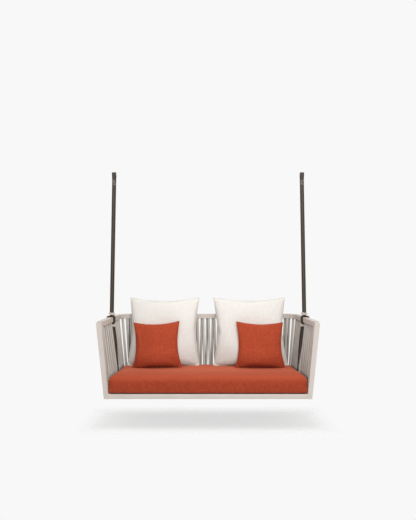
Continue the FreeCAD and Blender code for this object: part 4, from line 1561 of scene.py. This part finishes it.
    def shade_sheet(self) -> None:
        """A dark sheet under the cover, between its hem and the base: painted shade for the gap there."""
        low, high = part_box("seat_cushion")
        inset, drop = self.shade_sheet_inset, self.shade_sheet_drop
        depth = self.hem + drop + self.shade_sheet_lap
        size = Vector((high.x - low.x - 2 * inset, high.y - low.y - 2 * inset, depth))
        shape = bmesh.new()
        bmesh.ops.create_cube(shape, size=1.0)
        bmesh.ops.scale(shape, vec=size, verts=shape.verts[:])
        middle = Vector((0, (low.y + high.y) / 2, low.z - drop + size.z / 2))
        bmesh.ops.translate(shape, vec=middle, verts=shape.verts[:])
        soften(shape, self.shade_sheet_rounding, segments=2)
        sheet = take(shape, "seat_cushion_shade_sheet", self.palette["webbing"])
        sheet.data.set_sharp_from_angle(angle=SHARP_ANGLE)
        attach(sheet, Body.BENCH.value)


@dataclass(frozen=True)
class PillowPose:
    """How one loose pillow was put down: its share of the full width, its shift and its roll."""

    width_share: float = 1.0
    outwards: float = 0.0
    roll: float = 0.0


@dataclass(frozen=True)
class PillowKind:
    """Sizes, filling and places of one kind of pillow."""

    word: str
    lean: float
    size: Triple
    stuffing: Stuffing
    slot: str
    segments: int
    poses: dict[Side, PillowPose]
    belly: float = 0.15
    foot_spread: float = 0.0
    pleat: float = 0.009
    set_back: float = 0.0
    cut_share: float = 1.04
    fill: float = 0.75


LARGE = PillowKind("large", math.radians(14), (0.614, 0.156, 0.582), Stuffing(pressure=1.7),
                   "large_pillow_fabric", 62, {Side.LEFT: PillowPose(0.985, 0.018),
                                               Side.RIGHT: PillowPose(1.02)})
SMALL = PillowKind("small", math.radians(13), (0.388, 0.112, 0.374), Stuffing(pressure=2.6),
                   "small_pillow_fabric", 50, {Side.LEFT: PillowPose(0.98, 0.012, math.radians(-2.3)),
                                               Side.RIGHT: PillowPose(1.0, 0.019, math.radians(0.8))},
                   belly=0.8, foot_spread=0.06, pleat=0.004, set_back=0.020)


@dataclass
class Pillow:
    """A pillow of two square panels, sewn together at the edge and stuffed."""

    kind: PillowKind
    side: Side
    material: Material
    rests: Sequence[tuple[BVHTree, Vector]]
    gap: float = 0.0015
    seam_cord: float = 0.0042
    seam_sides: int = 6
    bulge: float = 0.16
    bulge_wave: float = 0.2
    bulge_cells: float = 22.0
    seed_steps: Span = (3.7, 11.0)
    sink_power: float = 1.5
    gather: float = 0.0016
    gather_pitch: float = 0.021
    gather_reach: float = 0.034
    gather_start: float = 0.008
    gather_depth: Span = (0.55, 0.6)
    wander_cells: float = 31.0
    wander_seed: float = 5.0
    wander_phase: float = 3.0
    calm: tuple[tuple[float, int], ...] = ((RIM_DISTANCE, 6), (0.03, 4), (0.07, 10))
    rim_rounds: int = 160
    pleat_angles: Triple = (-0.42, 0.05, 0.38)
    pleat_wander: float = 0.07
    pleat_width: float = 0.009
    pleat_reach: float = 0.085
    pleat_start: Span = (0.02, 0.3)
    upper_pleat: float = 0.45
    flat: np.ndarray = field(init=False)
    half: np.ndarray = field(init=False)

    @property
    def node(self) -> str:
        """The node that the pillow stands for."""
        return f"{self.side.word}_{self.kind.word}_pillow"

    def build(self) -> Piece:
        """Make the pillow.

        Returns:
            The pillow.
        """
        piece = take(self.panels(), f"{self.node}_cover", self.material)
        self.flat = points_of(piece.data)
        self.half = np.abs(self.flat).max(axis=0)
        self.kind.stuffing.swell(piece)
        self.fit(piece)
        for surface, direction in self.rests:
            moved = press(piece, surface, direction, self.gap)
            LOG.info("%s: %d points pressed back", piece.name, moved)
        piece.data.update()
        self.seam(piece)
        smooth_over(piece)
        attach(piece, Body.BENCH.value)
        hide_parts(self.node)
        return piece

    def from_seams(self) -> tuple[np.ndarray, np.ndarray]:
        """Way of each point of the flat panels from the nearer upright seam and the nearer level one."""
        return self.half[0] - np.abs(self.flat[:, 0]), self.half[2] - np.abs(self.flat[:, 2])

    def seam(self, piece: Piece) -> None:
        """Close the panels' shared edge with a thin sewn cord.

        Args:
            piece: The pillow.
        """
        rim = np.flatnonzero(np.minimum(*self.from_seams()) < RIM_DISTANCE)

        def way_round(index: int) -> float:
            """Turn of a seam point about the pillow's middle."""
            return math.atan2(self.flat[index][2] / self.half[2], self.flat[index][0] / self.half[0])

        path = [piece.data.vertices[index].co.copy() for index in sorted(rim.tolist(), key=way_round)]
        shape = closed_cord(path, self.seam_cord, self.seam_sides, ALONG_Y)
        cord = take(shape, f"{self.node}_seam", self.material)
        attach(cord, Body.BENCH.value)

    def panels(self) -> Shape:
        """Two panels with a shared edge, bulged a little so that the filling knows its way out.

        Returns:
            The sewn cover, upright at the origin.
        """
        width, depth, height = self.kind.size
        shape = bmesh.new()
        bmesh.ops.create_grid(shape, x_segments=self.kind.segments, y_segments=self.kind.segments, size=1.0)
        reach = max(vert.co.x for vert in shape.verts)
        half = Vector((width, height)) * (self.kind.cut_share / 2)
        bmesh.ops.scale(shape, vec=(half.x / reach, half.y / reach, 1.0), verts=shape.verts[:])
        chart = shape.loops.layers.uv.new("cut")
        for face in shape.faces:
            for loop in face.loops:
                loop[chart].uv = loop.vert.co.xy
        upright = Matrix.Rotation(math.pi / 2, 3, "X")
        bmesh.ops.rotate(shape, cent=(0, 0, 0), matrix=upright, verts=shape.verts[:])
        front = shape.verts[:]
        copied = bmesh.ops.duplicate(shape, geom=shape.verts[:] + shape.edges[:] + shape.faces[:])["geom"]
        rear = [item for item in copied if isinstance(item, bmesh.types.BMVert)]
        seed = Vector((self.side.value * self.seed_steps[0], width * self.seed_steps[1], 0.0))
        for verts, way in ((front, -1), (rear, 1)):
            for vert in verts:
                u, v = vert.co.x / half.x, vert.co.z / half.y
                wave = noise.noise(Vector((vert.co.x, way, vert.co.z)) * self.bulge_cells + seed)
                rise = self.bulge * depth * (1 - u * u) * (1 - v * v)
                vert.co.y = way * rise * (1 + self.bulge_wave * wave)
        bmesh.ops.remove_doubles(shape, verts=shape.verts[:], dist=MERGE_DISTANCE)
        bmesh.ops.recalc_face_normals(shape, faces=shape.faces[:])
        return shape

    def fit(self, piece: Piece) -> None:
        """Bring the stuffed cover to its size, lean it back and set it in its place.

        Args:
            piece: The pillow.
        """
        pose = self.kind.poses[self.side]
        points = points_of(piece.data)
        low, high = points.min(axis=0), points.max(axis=0)
        LOG.info("%s: stuffed size %s", self.node, np.round(high - low, 4))
        size = np.array(self.kind.size) * (pose.width_share, 1.0, 1.0)
        points = (points - (low + high) / 2) * (size / (high - low))
        points = self.level_foot(self.even_rim(points))
        points = self.pleated(self.gathered(self.calmed(piece, points)))
        box_low, box_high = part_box(self.node)
        shift = (self.side.value * pose.outwards, self.kind.set_back, 0)
        centre = np.array((box_low + box_high) / 2) + shift
        turn = np.array(Matrix.Rotation(-self.kind.lean, 3, "X") @ Matrix.Rotation(pose.roll, 3, "Y"))
        put_points(piece.data, points @ turn.T + centre)

    def even_rim(self, points: np.ndarray) -> np.ndarray:
        """Draw each side of the seam into an even curve between its two corners.

        Args:
            points: Points of the pillow, upright.

        Returns:
            The points with the even seam.
        """
        eased = points.copy()
        for across, along in ((0, 2), (2, 0)):
            for way in (-1, 1):
                edge = way * self.half[across]
                line = np.flatnonzero(np.isclose(self.flat[:, across], edge, atol=RIM_DISTANCE))
                line = line[np.argsort(self.flat[line, along])]
                for _ in range(self.rim_rounds):
                    eased[line[1:-1]] = (eased[line[:-2]] + 2 * eased[line[1:-1]] + eased[line[2:]]) / 4
        return eased

    def level_foot(self, points: np.ndarray) -> np.ndarray:
        """Let the lower edge sink until it stands on the seat, with the belly over it.

        Args:
            points: Points of the pillow, upright.

        Returns:
            The sunk points.
        """
        seam = np.isclose(self.flat[:, 2], self.flat[:, 2].min(), atol=RIM_DISTANCE)
        edge = points[seam][np.argsort(points[seam, 0])]
        rise = np.interp(points[:, 0], edge[:, 0], edge[:, 2]) - edge[:, 2].min()
        share = np.clip(-points[:, 2] / -points[:, 2].min(), 0.0, 1.0)
        sunk = points.copy()
        sunk[:, 2] -= rise * share ** self.sink_power
        sunk[:, 0] *= 1 + self.kind.foot_spread * share ** 2
        sunk[:, 1] *= 1 + self.kind.belly * BELLY_PEAK * share ** 2 * (1 - share)
        return sunk

    def calmed(self, piece: Piece, points: np.ndarray) -> np.ndarray:
        """Draw the middle of both panels smooth, and leave the folds near the seams.

        Args:
            piece: The pillow.
            points: Points of the pillow, upright.

        Returns:
            The smoothed points.
        """
        away = np.minimum(*self.from_seams())
        shape = bmesh.new()
        shape.from_mesh(piece.data)
        for vert, point in zip(shape.verts, points):
            vert.co = point
        for depth, rounds in self.calm:
            relax(shape, [vert for vert, way in zip(shape.verts, away) if way > depth], rounds)
        smoothed = np.array([vert.co for vert in shape.verts], np.float32)
        shape.free()
        return smoothed

    def raised(self, points: np.ndarray, rise: np.ndarray) -> np.ndarray:
        """Move points out of the pillow's middle plane.

        Args:
            points: Points of the pillow, upright.
            rise: Way of each one.

        Returns:
            The moved points.
        """
        moved = points.copy()
        moved[:, 1] += np.sign(self.flat[:, 1]) * rise
        return moved

    def gathered(self, points: np.ndarray) -> np.ndarray:
        """Pucker the cover a little along its seams.

        Args:
            points: Points of the pillow, upright.

        Returns:
            The puckered points.
        """
        from_side, from_end = self.from_seams()
        along = np.where(from_side < from_end, self.flat[:, 2], self.flat[:, 0])
        away = np.minimum(from_side, from_end)
        start = self.side.value * self.wander_seed
        wander = np.array([noise.noise(Vector((way * self.wander_cells, start, 0.0))) for way in along])
        wave = np.sin(FULL_TURN * along / self.gather_pitch + self.wander_phase * wander)
        wave *= self.gather_depth[0] + self.gather_depth[1] * wander
        fall = np.exp(-away / self.gather_reach) * np.clip(away / self.gather_start, 0.0, 1.0)
        return self.raised(points, self.gather * wave * fall)

    def pleated(self, points: np.ndarray) -> np.ndarray:
        """Raise folds of the cover along short lines that run out of each corner, highest at the foot.

        Args:
            points: Points of the pillow, upright.

        Returns:
            The folded points.
        """
        from_side, from_end = self.from_seams()
        reach = np.hypot(from_side, from_end)
        turn = np.arctan2(from_end, from_side) - math.pi / 4
        wander = np.sign(self.flat[:, 0]) * self.pleat_wander * self.side.value
        fold = np.zeros(len(points))
        for angle in self.pleat_angles:
            fold += np.exp(-(reach * np.sin(turn - angle - wander) / self.pleat_width) ** 2)
        depth = self.kind.pleat * np.where(self.flat[:, 2] < 0, 1.0, self.upper_pleat)
        scale, lag = self.pleat_start
        fold *= depth * np.exp(-reach / self.pleat_reach) * np.clip(reach / scale - lag, 0.0, 1.0)
        return self.raised(points, fold)


# Stage


@dataclass(frozen=True)
class Lamp:
    """A soft square lamp."""

    name: str
    place: Triple
    size: float
    power: float

    def build(self, aim: Vector) -> None:
        """Hang the lamp.

        Args:
            aim: What it points at.
        """
        data = bpy.data.lights.new(self.name, "AREA")
        data.shape = "RECTANGLE"
        data.size = data.size_y = self.size
        data.energy = self.power
        lamp = bpy.data.objects.new(self.name, data)
        lamp.location = self.place
        lamp.rotation_euler = (aim - Vector(self.place)).to_track_quat("-Z", "Y").to_euler()
        bpy.context.scene.collection.objects.link(lamp)


@dataclass
class Studio:
    """Pale floor, soft light and the camera."""

    floor_radius: float = 3.0
    floor_drop: float = 0.205
    floor_colour: Colour = (0.85, 0.85, 0.85, 1.0)
    floor_glow: Colour = (0.632, 0.632, 0.632, 1.0)
    floor_facing: Triple = (0.0, 0.75, 0.66)
    floor_end: Span = (-0.085, 0.14)
    floor_sides: Span = (0.74, 0.98)
    floor_front: Span = (0.36, 0.51)
    backdrop: Colour = shade(248, 248, 248)
    sky_heights: Span = (-0.35, 0.45)
    sky_strengths: Span = (0.70, 0.31)
    lamps: tuple[Lamp, ...] = (Lamp("overhead", (0, -0.3, 1.2), 1.3, 20),
                               Lamp("front", (0.6, -3.3, 0.75), 2.4, 89))
    lamp_aim: Triple = (0, 0, -1.5)
    camera_distance: float = 2.810
    camera_height: float = 0.2925
    lens: float = 27.28
    sensor: float = 36.0
    horizon_shift: float = 0.0401

    def build(self) -> None:
        """Set the stage."""
        bpy.context.scene.view_settings.view_transform = "Standard"
        self.world()
        self.floor()
        for lamp in self.lamps:
            lamp.build(Vector(self.lamp_aim))
        self.camera()

    def world(self) -> None:
        """Soft light from all round, and a plain backdrop for what looks past the object."""
        world = bpy.data.worlds.new("studio")
        bpy.context.scene.world = world
        shader = Shader(world)
        seen = shader.ray("Camera").above(shader.ray("Glossy").above(shader.ray("Transmission")))
        height = shader.split(shader.coordinates("Generated"))[2]
        strength = height.smooth(*self.sky_heights, *self.sky_strengths)
        light = shader.node("ShaderNodeBackground", inputs={"Color": WHITE, "Strength": strength})
        plain = shader.node("ShaderNodeBackground", inputs={"Color": self.backdrop})
        shader.node("ShaderNodeOutputWorld", inputs={0: shader.fade(seen, light, plain).outputs[0]})

    def floor(self) -> None:
        """A pale floor that fades into the backdrop, shaded so that it shows the overhead shadow."""
        low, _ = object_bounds()
        shape = bmesh.new()
        bmesh.ops.create_circle(shape, cap_ends=True, segments=96, radius=self.floor_radius)
        centre = Vector((0, low.y, low.z - self.floor_drop))
        bmesh.ops.translate(shape, vec=centre, verts=shape.verts[:])
        shader = Shader(bpy.data.materials.new("studio_floor"))
        x, y, _ = shader.split(shader.coordinates())
        ends = y.smooth(*self.floor_end).above((0 - y).smooth(*self.floor_front))
        gone = abs(x).smooth(*self.floor_sides).above(ends)
        facing = shader.node("ShaderNodeCombineXYZ", inputs=dict(enumerate(self.floor_facing)))
        pale = shader.node("ShaderNodeBsdfPrincipled", inputs={
            "Base Color": self.floor_colour, "Roughness": 1.0, "Specular IOR Level": 0.0,
            "Emission Color": self.floor_glow, "Emission Strength": 1.0, "Normal": facing.outputs[0]})
        clear = shader.node("ShaderNodeBsdfTransparent")
        shader.node("ShaderNodeOutputMaterial", inputs={0: shader.fade(gone, pale, clear).outputs[0]})
        piece = take(shape, "studio_floor", shader.owner)
        piece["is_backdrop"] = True

    def camera(self) -> None:
        """Level camera in front of the bench, at the photograph's distance and height."""
        data = bpy.data.cameras.new("camera")
        data.lens = self.lens
        data.sensor_width = self.sensor
        data.shift_y = self.horizon_shift
        camera = bpy.data.objects.new("camera", data)
        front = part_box("left_front_post")[0].y
        rail_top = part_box("top_rail")[1].z
        camera.location = (0, front - self.camera_distance, rail_top + self.camera_height)
        camera.rotation_euler = (math.pi / 2, 0, 0)
        bpy.context.scene.collection.objects.link(camera)
        bpy.context.scene.camera = camera


def main() -> None:
    """Build the stage and the bench."""
    logging.basicConfig(level=logging.INFO, format="%(name)s: %(message)s")
    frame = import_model()
    nodes = frame["nodes"]
    Studio().build()
    palette = {name: finish.material() for name, finish in FINISHES.items()}
    for group in (PaintedFrame, RopeWalls, Straps, Bindings, SeatDeck):
        group(nodes, palette).build()
    seat_rest = (tree_of(SeatCushion(nodes, palette).build()), -ALONG_Z)
    wall_rest = (tree_of(nodes["top_rail"], nodes["back_ropes_inner"]), ALONG_Y)
    for side in Side:
        large = Pillow(LARGE, side, palette["cream"], [wall_rest, seat_rest]).build()
        Pillow(SMALL, side, palette["rust"], [(tree_of(large), ALONG_Y), seat_rest]).build()
    LOG.info("boxes written")


if __name__ == "__main__":
    main()
